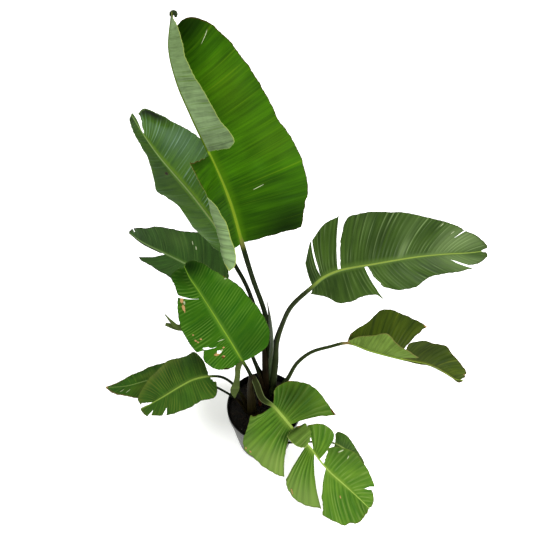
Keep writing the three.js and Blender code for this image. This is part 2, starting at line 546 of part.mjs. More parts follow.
function turned(profile, sides) {
  const shape = new THREE.LatheGeometry(profile.map(([r, z]) => new THREE.Vector2(r, z)), sides);
  shape.rotateX(Math.PI / 2);
  const position = shape.getAttribute('position');
  const index = shape.getIndex();
  const points = [];
  const keys = new Map();
  const at = Array.from({ length: position.count }, (_, i) => {
    const p = [position.getX(i), position.getY(i), position.getZ(i)];
    const key = p.map((v) => Math.round(v * 1e4)).join();
    if (!keys.has(key)) { keys.set(key, points.length); points.push(p); }
    return keys.get(key);
  });
  const triangles = [];
  for (let i = 0; i < index.count; i += 3) {
    const t = [at[index.getX(i)], at[index.getX(i + 1)], at[index.getX(i + 2)]];
    if (new Set(t).size === 3) triangles.push(t);
  }
  const made = solid(points, triangles);
  return made.volume() > 0 ? made : solid(points, triangles.map(([a, b, c]) => [a, c, b]));
}

function wallRadius(z) {
  const top = POT_HEIGHT - POT_BAND;
  return POT_FOOT_RADIUS + ((POT_RIM_RADIUS - POT_STEP - POT_FOOT_RADIUS) * z) / top;
}

function potSolid() {
  const band = POT_HEIGHT - POT_BAND;
  const inner = POT_RIM_RADIUS - POT_STEP - POT_WALL;
  return turned([
    [0, 0], [POT_FOOT_RADIUS - POT_ROUND, 0], [POT_FOOT_RADIUS, POT_ROUND],
    [wallRadius(band - POT_ROUND), band - POT_ROUND],
    [POT_RIM_RADIUS - 0.5, band], [POT_RIM_RADIUS, POT_HEIGHT - 2], [POT_RIM_RADIUS - 1.5, POT_HEIGHT],
    [POT_RIM_RADIUS - POT_WALL, POT_HEIGHT], [POT_RIM_RADIUS - POT_WALL - 1, POT_HEIGHT - 2],
    [inner, band], [wallRadius(POT_WALL) - POT_WALL, POT_WALL], [0, POT_WALL],
  ], POT_SIDES);
}

// The soil's top is a little higher in the middle and uneven all over.
function soilHeight(x, y) {
  const r = Math.hypot(x, y) / SOIL_RADIUS;
  const lumps = 1.6 * Math.sin(x / 17 + 0.6) * Math.cos(y / 21) + 1.1 * Math.sin((x - y) / 9);
  return SOIL_TOP + SOIL_CROWN * (1 - r * r) + lumps;
}

function soilSolid() {
  const foot = POT_WALL + SOIL_LIFT;
  const inside = (z) => wallRadius(z) - POT_WALL - SOIL_GAP;
  const edge = inside(SOIL_TOP - SOIL_CROWN);
  const rings = [[inside(foot), foot], [edge, null]];
  for (const share of SOIL_RINGS) rings.push([edge * share, null]);
  const points = rings.flatMap(([r, z]) => Array.from({ length: SOIL_SIDES }, (_, i) => {
    const a = (2 * Math.PI * i) / SOIL_SIDES;
    const x = r * Math.cos(a);
    const y = r * Math.sin(a);
    const top = soilHeight(x, y);
    return [x, y, z ?? (r === edge ? Math.min(top, SOIL_TOP - 3) : top)];
  }));
  const triangles = [];
  for (let k = 0; k < rings.length - 1; k += 1) {
    for (let i = 0; i < SOIL_SIDES; i += 1) {
      const a = k * SOIL_SIDES + i;
      const b = k * SOIL_SIDES + ((i + 1) % SOIL_SIDES);
      triangles.push([a, b, b + SOIL_SIDES], [a, b + SOIL_SIDES, a + SOIL_SIDES]);
    }
  }
  points.push([0, 0, foot], [0, 0, soilHeight(0, 0)]);
  const inner = (rings.length - 1) * SOIL_SIDES;
  for (let i = 0; i < SOIL_SIDES; i += 1) {
    const j = (i + 1) % SOIL_SIDES;
    triangles.push([points.length - 2, j, i], [points.length - 1, inner + i, inner + j]);
  }
  return solid(points, triangles);
}

// ---------------------------------------------------------------- assembly

const FINISH = {
  leaf: { color: 0x3f7d1c, roughness: 0.5, metalness: 0 },
  young_leaf: { color: 0x4f9320, roughness: 0.45, metalness: 0 },
  new_leaf: { color: 0x1d2b16, roughness: 0.55, metalness: 0 },
  stub: { color: 0x6b4028, roughness: 0.9, metalness: 0 },
  soil: { color: 0x2b1d14, roughness: 1, metalness: 0 },
  pot: { color: 0x15161a, roughness: 0.45, metalness: 0 },
};

function toMesh(name, body, finish) {
  const mesh = body.getMesh();
  const geometry = new THREE.BufferGeometry();
  const positions = new Float32Array(mesh.numVert * 3);
  for (let i = 0; i < mesh.numVert; i += 1) {
    for (let k = 0; k < 3; k += 1) positions[3 * i + k] = mesh.vertProperties[i * mesh.numProp + k];
  }
  geometry.setAttribute('position', new THREE.BufferAttribute(positions, 3));
  geometry.setIndex(new THREE.BufferAttribute(new Uint32Array(mesh.triVerts), 1));
  geometry.computeVertexNormals();
  const made = new THREE.Mesh(geometry, new THREE.MeshStandardMaterial(finish));
  made.name = name;
  return made;
}

const bodies = {};
for (const shoot of [MAIN_SHOOT, SIDE_SHOOT]) {
  shoot.forEach((name, order) => {
    let body = LEAVES[name] ? leafSolid(name) : stemSolid(STEMS[name]);
    for (const inner of shoot.slice(0, order)) {
      body = body.subtract(stemSolid(STEMS[inner], CLEARANCE, 6));
    }
    bodies[name] = largest(body.simplify(SIMPLE_WITHIN));
  });
}
bodies.old_stub = stemSolid(OLD_STUB);

let soil = soilSolid();
for (const name of Object.keys(STEMS)) soil = soil.subtract(stemSolid(STEMS[name], CLEARANCE, 2));
soil = largest(soil.simplify(SIMPLE_WITHIN));

const plant = new THREE.Group();
plant.name = 'potted_bird_of_paradise';
plant.add(toMesh('pot', potSolid(), FINISH.pot));
plant.add(toMesh('soil', soil, FINISH.soil));
plant.add(toMesh('new_leaf', bodies.new_leaf, FINISH.new_leaf));
for (const name of Object.keys(LEAVES)) {
  plant.add(toMesh(name, bodies[name], name === 'leaf_i' ? FINISH.young_leaf : FINISH.leaf));
}
plant.add(toMesh('old_stub', bodies.old_stub, FINISH.stub));

export default plant;
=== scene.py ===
"""A potted white bird of paradise: its leaves, stems, soil and pot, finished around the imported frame.

Sizes in the classes are millimetres and those in the meshes metres. +Z is up and -Y is the front.
"""

from __future__ import annotations

import logging
import math
from dataclasses import dataclass
from enum import Enum
from functools import cached_property
from typing import Any, Callable, Mapping, Sequence

import bpy
import numpy as np
from bpy.types import ID, Material, Mesh, Node, NodeSocket, NodeTree, Object
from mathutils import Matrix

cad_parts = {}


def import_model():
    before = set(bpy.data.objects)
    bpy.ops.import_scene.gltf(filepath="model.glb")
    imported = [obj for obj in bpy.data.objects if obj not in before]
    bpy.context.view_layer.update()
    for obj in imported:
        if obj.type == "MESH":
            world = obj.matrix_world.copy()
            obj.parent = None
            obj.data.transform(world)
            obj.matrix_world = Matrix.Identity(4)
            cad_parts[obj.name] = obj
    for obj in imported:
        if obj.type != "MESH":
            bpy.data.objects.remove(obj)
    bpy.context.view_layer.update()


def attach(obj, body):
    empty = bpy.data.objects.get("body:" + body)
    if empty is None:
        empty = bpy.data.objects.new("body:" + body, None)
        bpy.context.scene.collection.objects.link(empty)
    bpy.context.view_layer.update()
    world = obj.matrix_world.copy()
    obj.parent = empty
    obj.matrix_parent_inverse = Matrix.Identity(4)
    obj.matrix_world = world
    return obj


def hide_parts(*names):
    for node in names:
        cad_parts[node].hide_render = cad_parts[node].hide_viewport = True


LOG = logging.getLogger("plant")
METRES = 0.001  # one millimetre
BODY = "root"
UV_NAME = "veins"
FULL_TURN = 2 * math.pi
SEEN = 0.6  # in this studio's light a surface is this share as bright as it looks
LINE_VALUES = 1024  # random heights before a wandering line repeats
PLANE_VALUES = 256  # random heights before a lumpy surface repeats, each way

Array = np.ndarray
Faces = list[tuple[int, ...]]
Row = tuple[float, ...]
Values = Mapping[Any, Any]


# ------ shared geometry


def smooth(x: Array) -> Array:
    """An ease from 0 to 1 as x goes from 0 to 1."""
    c = np.clip(x, 0.0, 1.0)
    return c * c * (3.0 - 2.0 * c)


def unit(vectors: Array) -> Array:
    """Vectors scaled to length 1, along their last axis."""
    return vectors / np.maximum(np.linalg.norm(vectors, axis=-1, keepdims=True), 1e-12)


def curve(knots: Array, rows: Array, at: Array) -> Array:
    """Reads a smooth curve through rows of numbers, straight beyond its two ends.

    Args:
        knots: where each row is, rising.
        rows: one row of numbers for each knot.
        at: the places to read.

    Returns:
        One row of numbers for each place.
    """
    spans = np.diff(knots)[:, None]
    chords = np.diff(rows, axis=0) / spans
    slopes = np.empty_like(rows)
    slopes[0] = chords[0]
    slopes[-1] = chords[-1]
    before, after = spans[:-1], spans[1:]
    slopes[1:-1] = (chords[:-1] * after + chords[1:] * before) / (before + after)
    i = np.clip(np.searchsorted(knots, at, side="right") - 1, 0, len(knots) - 2)
    x = ((at - knots[i]) / (knots[i + 1] - knots[i]))[:, None]
    c = np.clip(x, 0.0, 1.0)
    first, second = slopes[i] * spans[i], slopes[i + 1] * spans[i]
    found = rows[i] * (2 * c**3 - 3 * c**2 + 1) + first * (c**3 - 2 * c**2 + c)
    found += rows[i + 1] * (3 * c**2 - 2 * c**3) + second * (c**3 - c**2)
    return found + (np.minimum(x, 0.0) * first + np.maximum(x - 1.0, 0.0) * second)


def wander(x: Array, length: float, seed: int) -> Array:
    """A smooth random line between -1 and 1.

    Args:
        x: the places to read.
        length: how far apart its turns are.
        seed: picks one line.

    Returns:
        The line's height at each place.
    """
    values = np.random.default_rng(seed).uniform(-1.0, 1.0, LINE_VALUES)
    place = x / length
    cell = np.floor(place).astype(int)
    share = smooth(place - cell)
    return values[cell % LINE_VALUES] * (1.0 - share) + values[(cell + 1) % LINE_VALUES] * share


def lumps(x: Array, y: Array, length: float, seed: int) -> Array:
    """A smooth random surface between -1 and 1.

    Args:
        x: first coordinates.
        y: second coordinates.
        length: how far apart its lumps are.
        seed: picks one surface.

    Returns:
        The surface's height at each place.
    """
    size = PLANE_VALUES
    values = np.random.default_rng(seed).uniform(-1.0, 1.0, (size, size))
    u, v = x / length, y / length
    i, j = np.floor(u).astype(int), np.floor(v).astype(int)
    a, b = smooth(u - i), smooth(v - j)
    low, high = (
        values[i % size, k % size] * (1 - a) + values[(i + 1) % size, k % size] * a for k in (j, j + 1)
    )
    return low * (1 - b) + high * b


def placed(name: str, data: ID) -> Object:
    """A new object, at the origin, in the scene."""
    made = bpy.data.objects.new(name, data)
    bpy.context.scene.collection.objects.link(made)
    return made


def soften(mesh: Mesh) -> None:
    """Shades a mesh smooth."""
    mesh.polygons.foreach_set("use_smooth", np.ones(len(mesh.polygons), bool))


def settled(made: Object, node: str) -> Object:
    """Tells the frame what a piece stands for.

    Args:
        made: the piece.
        node: the frame's node that it replaces.

    Returns:
        The piece.
    """
    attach(made, BODY)
    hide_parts(node)
    return made


@dataclass
class Surface:
    """A mesh in the making, in millimetres."""

    points: Array  # one row for each vertex
    faces: Faces  # tuples of vertex numbers, counter-clockwise seen from outside
    paint: Array | None = None  # the material's number for each face, or all 0
    uv: Array | None = None  # one row of two for each vertex, or none
    fields: Mapping[str, Array] | None = None  # named numbers, one for each vertex
    creases: Array | None = None  # pairs of vertices whose edge stays sharp

    def piece(self, name: str, materials: Sequence[Material]) -> Object:
        """Makes the object, at the origin, smooth-shaded.

        Args:
            name: the piece's name.
            materials: its materials, in the order of the numbers in paint.

        Returns:
            The new object, linked to the scene.
        """
        mesh = bpy.data.meshes.new(name)
        mesh.from_pydata((self.points * METRES).tolist(), [], self.faces)
        for material in materials:
            mesh.materials.append(material)
        if self.paint is not None:
            mesh.polygons.foreach_set("material_index", self.paint.astype(np.int32))
        soften(mesh)
        if self.uv is not None:
            corners = np.empty(len(mesh.loops), np.int32)
            mesh.loops.foreach_get("vertex_index", corners)
            layer = mesh.uv_layers.new(name=UV_NAME)
            layer.data.foreach_set("uv", self.uv[corners].astype(np.float32).ravel())
        for title, values in (self.fields or {}).items():
            field = mesh.attributes.new(title, "FLOAT", "POINT")
            field.data.foreach_set("value", values.astype(np.float32))
        if self.creases is not None:
            self._sharpen(mesh)
        mesh.update()
        return placed(name, mesh)

    def _sharpen(self, mesh: Mesh) -> None:
        """Marks the creases on a mesh.

        Args:
            mesh: the mesh made of this surface.
        """
        ends = np.empty(2 * len(mesh.edges), np.int32)
        mesh.edges.foreach_get("vertices", ends)
        pairs, wanted = (np.sort(e, axis=1).astype(np.int64) for e in (ends.reshape(-1, 2), self.creases))
        count = len(self.points)
        sharp = np.isin(pairs[:, 0] * count + pairs[:, 1], wanted[:, 0] * count + wanted[:, 1])
        field = mesh.attributes.new("sharp_edge", "BOOLEAN", "EDGE")
        field.data.foreach_set("value", sharp)


def joined(surfaces: Sequence[Surface]) -> Surface:
    """Several leaf surfaces as one.

    Args:
        surfaces: the surfaces, each painted and mapped and with all the leaf's fields.

    Returns:
        One surface with all their faces.
    """
    starts = np.concatenate([[0], np.cumsum([len(s.points) for s in surfaces])]).tolist()
    numbered = list(zip(starts, surfaces))
    return Surface(
        points=np.concatenate([s.points for s in surfaces]),
        faces=[tuple(v + start for v in face) for start, s in numbered for face in s.faces],
        paint=np.concatenate([s.paint for s in surfaces]),
        uv=np.concatenate([s.uv for s in surfaces]),
        fields={title: np.concatenate([s.fields[title] for s in surfaces]) for title in FIELDS},
        creases=np.concatenate([s.creases + start for start, s in numbered if s.creases is not None]),
    )


def tube(rings: Array) -> tuple[Array, Faces]:
    """Joins rings of points into a closed tube with a fan of faces at each end.

    Args:
        rings: rings by points by three, turning so that the faces point out.

    Returns:
        The points and the faces.
    """
    count, around = rings.shape[:2]
    points = np.concatenate([rings.reshape(-1, 3), rings[[0, -1]].mean(axis=1)])
    faces: Faces = []
    for start in range(0, (count - 1) * around, around):
        for i in range(around):
            a, b = start + i, start + (i + 1) % around
            faces.append((a, b, b + around, a + around))
    foot = count * around
    top = foot - around
    for i in range(around):
        j = (i + 1) % around
        faces += [(foot, j, i), (foot + 1, top + i, top + j)]
    return points, faces


# ------ shader maths


def paint(code: str, times: float = 1.0) -> Row:
    """The linear colour that a surface needs to look like a screen colour in the studio.

    Args:
        code: the screen colour, such as "47790a".
        times: how much brighter it is made.

    Returns:
        Red, green, blue and 1.
    """
    shares = [int(code[i : i + 2], 16) / 255 for i in (0, 2, 4)]
    linear = [c / 12.92 if c <= 0.04045 else ((c + 0.055) / 1.055) ** 2.4 for c in shares]
    return (*(min(1.0, c * SEEN * times) for c in linear), 1.0)


class Nodes:
    """A tree of nodes in the making."""

    tree: NodeTree

    def node(self, kind: str, values: Values | None = None, settings: Values | None = None) -> Node:
        """Adds a node.

        Args:
            kind: the node's type.
            values: what goes into its sockets, by name or number: constants, sockets, numbers, or
                nodes for their first output.
            settings: its properties.

        Returns:
            The node.
        """
        made = self.tree.nodes.new(kind)
        for title, setting in (settings or {}).items():
            setattr(made, title, setting)
        for title, value in (values or {}).items():
            if isinstance(value, Number):
                value = value.socket
            elif isinstance(value, Node):
                value = value.outputs[0]
            if isinstance(value, NodeSocket):
                self.tree.links.new(value, made.inputs[title])
            else:
                made.inputs[title].default_value = value
        return made


def _operator(operation: str, swapped: bool = False) -> Callable[[Number, Value], Number]:
    """A method that joins a number and another, or another and it, in a Math node."""
    return lambda self, other: self.math(operation, *((other, self) if swapped else (self, other)))


class Number:
    """A number in a material's nodes that Python's operators work on."""

    def __init__(self, shader: Shader, socket: NodeSocket) -> None:
        """Wraps an output socket of a node in the shader."""
        self.shader = shader
        self.socket = socket

    def math(self, operation: str, *values: Value, clamped: bool = False) -> Number:
        """A Math node's result.

        Args:
            operation: the node's operation.
            values: its inputs, in order.
            clamped: whether the result is kept from 0 to 1.

        Returns:
            The node's result.
        """
        settings = {"operation": operation, "use_clamp": clamped}
        return self.shader.number("ShaderNodeMath", dict(enumerate(values)), settings)

    __add__ = _operator("ADD")
    __sub__ = _operator("SUBTRACT")
    __rsub__ = _operator("SUBTRACT", swapped=True)
    __mul__ = _operator("MULTIPLY")
    __pow__ = _operator("POWER")

    def sine(self) -> Number:
        """The sine of this, in radians."""
        return self.math("SINE", self)

    def clamp(self) -> Number:
        """This kept from 0 to 1."""
        return self.math("ADD", self, 0.0, clamped=True)

    def or_more(self, other: Number) -> Number:
        """The larger of this and other."""
        return self.math("MAXIMUM", self, other)

    def between(self, low: float, high: float) -> Number:
        """An ease from 0 where this is low to 1 where it is high, which may be the smaller.

        Args:
            low: where it is 0.
            high: where it is 1.

        Returns:
            The ease.
        """
        values = {0: self, 1: min(low, high), 2: max(low, high)}
        settings = {"interpolation_type": "SMOOTHSTEP", "clamp": True}
        rising = self.shader.number("ShaderNodeMapRange", values, settings)
        return rising if low < high else 1.0 - rising


Colour = NodeSocket | Row | str
Value = Number | float


class Shader(Nodes):
    """A material in the making."""

    def __init__(self, name: str) -> None:
        """Starts an empty material of that name."""
        self.material = bpy.data.materials.new(name)
        self.material.use_nodes = True
        self.tree = self.material.node_tree
        self.tree.nodes.clear()
        self.colour: Colour = "ffffff"

    def number(
        self, kind: str, values: Values, settings: Values | None = None, out: int | str = 0
    ) -> Number:
        """Adds a node, as node does, and gives the number that comes out of it."""
        return Number(self, self.node(kind, values, settings).outputs[out])

    def field(self, name: str) -> Number:
        """The piece's own attribute of that name."""
        return self.number("ShaderNodeAttribute", {}, {"attribute_name": name}, "Fac")

    def split(self, vector: NodeSocket) -> list[Number]:
        """The three numbers of a vector."""
        return [Number(self, output) for output in self.node("ShaderNodeSeparateXYZ", {0: vector}).outputs]

    @cached_property
    def place(self) -> NodeSocket:
        """Object coordinates, in metres."""
        return self.node("ShaderNodeTexCoord").outputs["Object"]

    @cached_property
    def veins(self) -> list[Number]:
        """The piece's own UV map: metres along the blade or stem, and the share across or around."""
        return self.split(self.node("ShaderNodeUVMap", settings={"uv_map": UV_NAME}))[:2]

    def vector(self, x: Value, y: Value, z: Value = 0.0) -> Node:
        """A vector of three numbers."""
        return self.node("ShaderNodeCombineXYZ", {0: x, 1: y, 2: z})

    def noise(self, scale: float, detail: float = 2.0, where: Node | None = None) -> Number:
        """Soft noise from 0 to 1, mostly near 0.5.

        Args:
            scale: its turns per unit.
            detail: how many finer layers it has.
            where: the vector that it varies with, or else the place in metres.

        Returns:
            The noise.
        """
        values = {"Vector": where or self.place, "Scale": scale, "Detail": detail}
        return self.number("ShaderNodeTexNoise", values)

    def fibres(self, along: float, across: float, detail: float = 2.0) -> Number:
        """Noise drawn out into fibres that run with the veins or round the stem.

        Args:
            along: its turns in a metre of blade or stem.
            across: its turns from the midrib to the margin, or from below to above.
            detail: how many finer layers it has.

        Returns:
            The noise.
        """
        metres, share = self.veins
        return self.noise(1.0, detail, self.vector(metres * along, share * across))

    def mix(self, share: Number, first: Colour, second: Colour) -> NodeSocket:
        """A colour between two, or their screen codes: the second where share is 1."""
        first, second = (paint(c) if isinstance(c, str) else c for c in (first, second))
        return self.node("ShaderNodeMix", {0: share, 6: first, 7: second}, {"data_type": "RGBA"}).outputs[2]

    def coat(self, share: Number, colour: Colour) -> None:
        """Lays a colour, or its screen code, over the colour so far, all of it where share is 1."""
        self.colour = self.mix(share, self.colour, colour)

    def finish(
        self,
        roughness: Value,
        gloss: float,
        bump: tuple[Number, float, float] | None = None,
        **others: Any,
    ) -> Material:
        """Closes the material with one principled surface of the colour so far.

        Args:
            roughness: the roughness.
            gloss: how strongly it reflects.
            bump: (a height from 0 to 1, how many metres 1 is, how much of it shows).
            others: what goes into other sockets, whose names have _ for each space.

        Returns:
            The material.
        """
        values = {title.replace("_", " "): value for title, value in others.items()}
        values.update({"Base Color": self.colour, "Roughness": roughness, "Specular IOR Level": gloss})
        if bump is not None:
            height, depth, strength = bump
            relief = {"Strength": strength, "Distance": depth, "Height": height}
            values["Normal"] = self.node("ShaderNodeBump", relief)
        self.node("ShaderNodeOutputMaterial", {"Surface": self.node("ShaderNodeBsdfPrincipled", values)})
        return self.material


# ------ lines that stems and midribs follow


@dataclass(frozen=True)
class Stem:
    """The line and girth of a stem, or of a torn strip."""

    path: tuple[Row, ...]  # points from the foot to the tip
    face: tuple[Row, ...]  # (path point, x, y, z) for the way the upper side looks
    girth: tuple[Row, ...]  # (path point, half width, half depth)
    blade: int | None = None  # the path point where a blade begins, if it has one


@dataclass
class Place:
    """Where a line passes and how it is turned there, one row for each place read."""

    point: Array
    along: Array
    up: Array
    across: Array
    girth: Array

    def rings(self, x: Array, y: Array) -> Array:
        """A ring of points round each place, x across and y up from the line."""
        return self.point[:, None] + self.across[:, None] * x[..., None] + self.up[:, None] * y[..., None]


def fill(rows: Sequence[Row], count: int) -> Array:
    """Numbers given at some path points only, filled in evenly for those between.

    Args:
        rows: the path point's number first, then its values.
        count: how many path points there are.

    Returns:
        One row of values for each path point.
    """
    at, *columns = np.array(rows, float).T
    return np.stack([np.interp(np.arange(count), at, column) for column in columns], 1)


class Spine:
    """A stem's line, read by the distance along its path."""

    NEAR = 0.5  # mm to either side over which its direction is taken

    def __init__(self, stem: Stem) -> None:
        """Measures the stem's path."""
        self.path = np.array(stem.path, float)
        steps = np.linalg.norm(np.diff(self.path, axis=0), axis=1)
        self.knots = np.concatenate([[0.0], np.cumsum(steps)])
        self.faces = unit(fill(stem.face, len(self.path)))
        self.girths = fill(stem.girth, len(self.path))
        self.length = float(self.knots[-1])
        self.blade_at = self.length if stem.blade is None else float(self.knots[stem.blade])

    def at(self, s: Array) -> Place:
        """Reads the line.

        Args:
            s: distances along the path.

        Returns:
            The line's place and turn at each distance.
        """
        point, before, after = (curve(self.knots, self.path, s + d) for d in (0.0, -self.NEAR, self.NEAR))
        along = unit(after - before)
        look = curve(self.knots, self.faces, s)
        up = unit(look - along * np.sum(look * along, axis=1, keepdims=True))
        return Place(point, along, up, np.cross(along, up), curve(self.knots, self.girths, s))

    def stations(self, step: float) -> Array:
        """Distances from the foot to the tip, about a step apart."""
        return np.linspace(0.0, self.length, math.ceil(self.length / step) + 1)


# ------ blades


# Fields that the finishes read, among them the patches of painted light and shade and the strength of the
# pleats' painted highlight and shade.
FIELDS = ("at", "rim", "blade", "base", "painted_light_and_tone", "phase", "lines")
FAR_FROM_RIM = 40.0  # mm from the rim beyond which nothing is dry


class Kind(Enum):
    """What a blemish on a blade is, and its colour."""

    TAN = "c39a66"
    BROWN = "5a3312"
    DARK = "1c150a"
    PALE = "bccaa0"


@dataclass(frozen=True)
class Spot:
    """A place on one half of a blade."""

    side: int  # 1 for the right half, -1 for the left
    along: float  # how far from the blade's base the vein through its middle leaves the midrib
    share: float  # its middle's share of the way along that vein
    deep: float  # half its size along the vein, as a share of the way to the margin
    wide: float  # half its size across the veins


@dataclass(frozen=True)
class Mark(Spot):
    """A ragged blemish."""

    kind: Kind  # what it is
    lean: float = 0.0  # how far it slants, in mm from one of its ends to its middle


@dataclass(frozen=True)
class PaintedLight(Spot):
    """A soft patch of painted light, or of painted shade where its value is below 0."""

    value: float


@dataclass(frozen=True)
class Hole(Spot):
    """A hole right through, whose deep is in mm."""


@dataclass(frozen=True)
class Segment:
    """A part of one half of a blade, between two tears."""

    # (rise, curl, fold) of its veins: a vein sets off rise degrees above the blade's plane and
    # turns by curl on its way to the margin and by fold more about the crease
    turn: Row
    # (along, out, forward) of the veins, and their own rise, curl and fold where those differ: a
    # vein leaves the midrib along mm from the blade's base and ends out mm across and forward mm
    # further on
    stations: tuple[Row, ...]
    crease: tuple[float, float] = (0.5, 0.3)  # (share of the way, share wide)
    join: float | None = None  # the share of the vein that still holds it to the segment before, if any


@dataclass(frozen=True)
class Relief:
    """How a leaf's blade is uneven."""

    pleat: float  # how far apart the pleats are
    depth: float  # how high a pleat is
    wave: float  # how high the margin waves
    turn: float  # how long a wave is
    seed: int  # picks the unevenness
    # how clearly the pleats show on its right half and on its left
    clear: tuple[float, float] = (1.0, 1.0)
    # how far the pleats sweep forward besides, in mm for each mm across, on both
    sweep: tuple[float, float] = (0.0, 0.0)


@dataclass
class Grid:
    """The columns and rows of points of one connected sheet, before it has its place."""

    along: Array  # each point's distance along the midrib, columns by rows
    share: Array  # each point's share of its vein
    zone: Array  # the stretch of the blade that each column is in
    kept: Array  # which cells between the columns and rows are there
    width: Array | None = None  # how long each point's vein is
    arc: Array | None = None  # each point's distance along the blade's surface


@dataclass(frozen=True)
class Stretch:
    """A stretch of a half blade: a segment, or what bridges the tear between two."""

    knots: Array
    rows: Array
    crease: tuple[float, float]
    bridge: float | None

    NARROWEST = 2.0  # mm across

    def read(self, along: Array) -> Array:
        """Reads the veins.

        Args:
            along: distances along the midrib.

        Returns:
            Rows of (out, forward, rise, curl, fold).
        """
        if self.bridge is None:
            found = curve(self.knots, self.rows, along)
        else:
            share = ((along - self.knots[0]) / (self.knots[-1] - self.knots[0]))[:, None]
            found = self.rows[0] * (1 - share) + self.rows[-1] * share
        found[:, 0] = np.maximum(found[:, 0], self.NARROWEST)
        return found


@dataclass
class HalfBlade:
    """One half of a blade, made as fine closed sheets."""

    spine: Spine  # the leaf's line
    side: int  # 1 for the right half, -1 for the left
    segments: tuple[Segment, ...]  # its segments, from the base to the tip
    relief: Relief  # how it is uneven
    holes: tuple[Hole, ...]  # its holes
    painted_lights: tuple[PaintedLight, ...]  # its patches of painted light and shade

    COLUMN = 2.4  # mm between columns at the midrib
    MARGIN_COLUMN = 3.2  # mm between columns at the margin
    PROBES = 40  # places at which the margin is measured
    ROW = 4.6  # mm between rows
    FEWEST_ROWS = 10
    MOST_ROWS = 40
    THICK = 0.7
    LEAN = 0.6  # share of a vein's forward sweep that is straight
    SLIT = 5.0  # mm: a narrower tear tapers along its whole length
    TEAR_END = 0.2  # share of a vein over which a wider one narrows
    TEAR_TIP = 0.12  # how wide a tear's end stays, as a share of the tear
    OTHER_SIDE = 3.0  # where the left half's map begins, so that the halves differ
    STEPS = 40  # steps in which a vein's bend is summed
    FRAY = 1.5  # mm that a torn end is uneven by
    FRAY_REACH = 7.0  # mm over which that dies away
    FRAY_TURNS = (0.11, 0.031)  # shares of a vein in which it turns, coarse and fine
    LONG_SHEET = 300.0  # mm: a shorter sheet's torn ends are less uneven
    LOBES = ((2, 0.22), (5, 0.14))  # (turns round a hole, how ragged they make it)
    PUCKER = 0.3  # the least share of a hole's size from which its edge is drawn out
    NIBBLES = ((9.0, 1.1), (3.1, 0.5))  # (mm between the margin's turns, mm high)
    NARROWEST = 1.5  # mm across, nibbled
    FULL_NIBBLE = 30.0  # mm across from which the margin has all its unevenness
    GAUGE = 0.6  # the share of the veins at which the blade's length is measured
    WIDE = 45.0  # mm across from which the blade has all its relief
    RIB_SIDE = 0.16  # the share of a vein beside the midrib with less relief
    SOFT = 1.6  # mm high are its soft lumps

    def __post_init__(self) -> None:
        """Works out what depends on which half it is."""
        self.seed = self.relief.seed * 10 + self.side
        half = 0 if self.side > 0 else 1
        self.clear = self.relief.clear[half]
        self.sweep = self.relief.sweep[half]

    def sheets(self) -> list[Surface]:
        """Makes the closed sheets of this half.

        Returns:
            One sheet for each run of segments that hold together.
        """
        stretches = self._stretches()
        widest = max(float(s.rows[:, 0].max()) for s in stretches)
        rows = int(np.clip(widest / self.ROW, self.FEWEST_ROWS, self.MOST_ROWS))
        groups: list[list[Stretch]] = []
        for stretch in stretches:
            if groups and (stretch.bridge is not None or groups[-1][-1].bridge is not None):
                groups[-1].append(stretch)
            else:
                groups.append([stretch])
        return [self._sheet(group, rows) for group in groups]

    def _stretches(self) -> list[Stretch]:
        """The segments and what bridges them.

        Returns:
            The stretches from the base to the tip.
        """
        found: list[Stretch] = []
        for segment in self.segments:
            given = np.array([(*row, *segment.turn[len(row) - 3 :]) for row in segment.stations], float)
            whole = Stretch(given[:, 0], given[:, 1:], segment.crease, None)
            if segment.join is not None:
                before = found[-1]
                ends = np.stack([before.rows[-1], whole.rows[0]])
                knots = np.array([before.knots[-1], whole.knots[0]])
                found.append(Stretch(knots, ends, segment.crease, segment.join))
            found.append(Stretch(whole.knots, whole.read(whole.knots), segment.crease, None))
        return found

    def _grid(self, group: list[Stretch], rows: int) -> Grid:
        """Lays out the points and cells of a connected sheet.

        Args:
            group: its stretches.
            rows: how many rows of cells it has.

        Returns:
            The sheet's grid.
        """
        columns: list[float] = []
        zones: list[int] = []
        kept: list[Array] = []
        share = np.linspace(0.0, 1.0, rows + 1)
        cells = (share[:-1] + share[1:]) / 2
        for number, stretch in enumerate(group):
            count = self._columns(stretch)
            marks = np.linspace(stretch.knots[0], stretch.knots[-1], count + 1)[min(number, 1) :]
            columns.extend(marks.tolist())
            zones.extend([number] * len(marks))
            kept.extend([np.ones(rows, bool) if stretch.bridge is None else cells < stretch.bridge] * count)
        along = np.repeat(np.array(columns)[:, None], rows + 1, axis=1)
        for stretch in group:
            if stretch.bridge is not None:
                self._taper(along, share, stretch)
        grid = Grid(along, np.repeat(share[None], len(columns), axis=0), np.array(zones), np.array(kept))
        self._fray(along, share)
        for hole in self.holes:
            if hole.side == self.side and along[0, 0] < hole.along < along[-1, 0]:
                self._pierce(grid, group, hole)
        return grid

    def _fray(self, along: Array, share: Array) -> None:
        """Makes the torn ends of a sheet uneven, less so away from the end and in short sheets.

        Args:
            along: the points' distances along the midrib, which it changes.
            share: the share of the veins that each row is at.
        """
        coarse, fine = self.FRAY_TURNS
        seed = self.seed + 5
        size = self.FRAY * min(1.0, (along[-1, 0] - along[0, 0]) / self.LONG_SHEET)
        for end, place in enumerate((along[0, 0], along[-1, 0])):
            uneven = wander(share, coarse, seed + end) + 0.5 * wander(share, fine, seed + 2 + end)
            near = np.exp(-np.abs(along - place) / self.FRAY_REACH)
            along += size * uneven * smooth(share / 0.2) * near

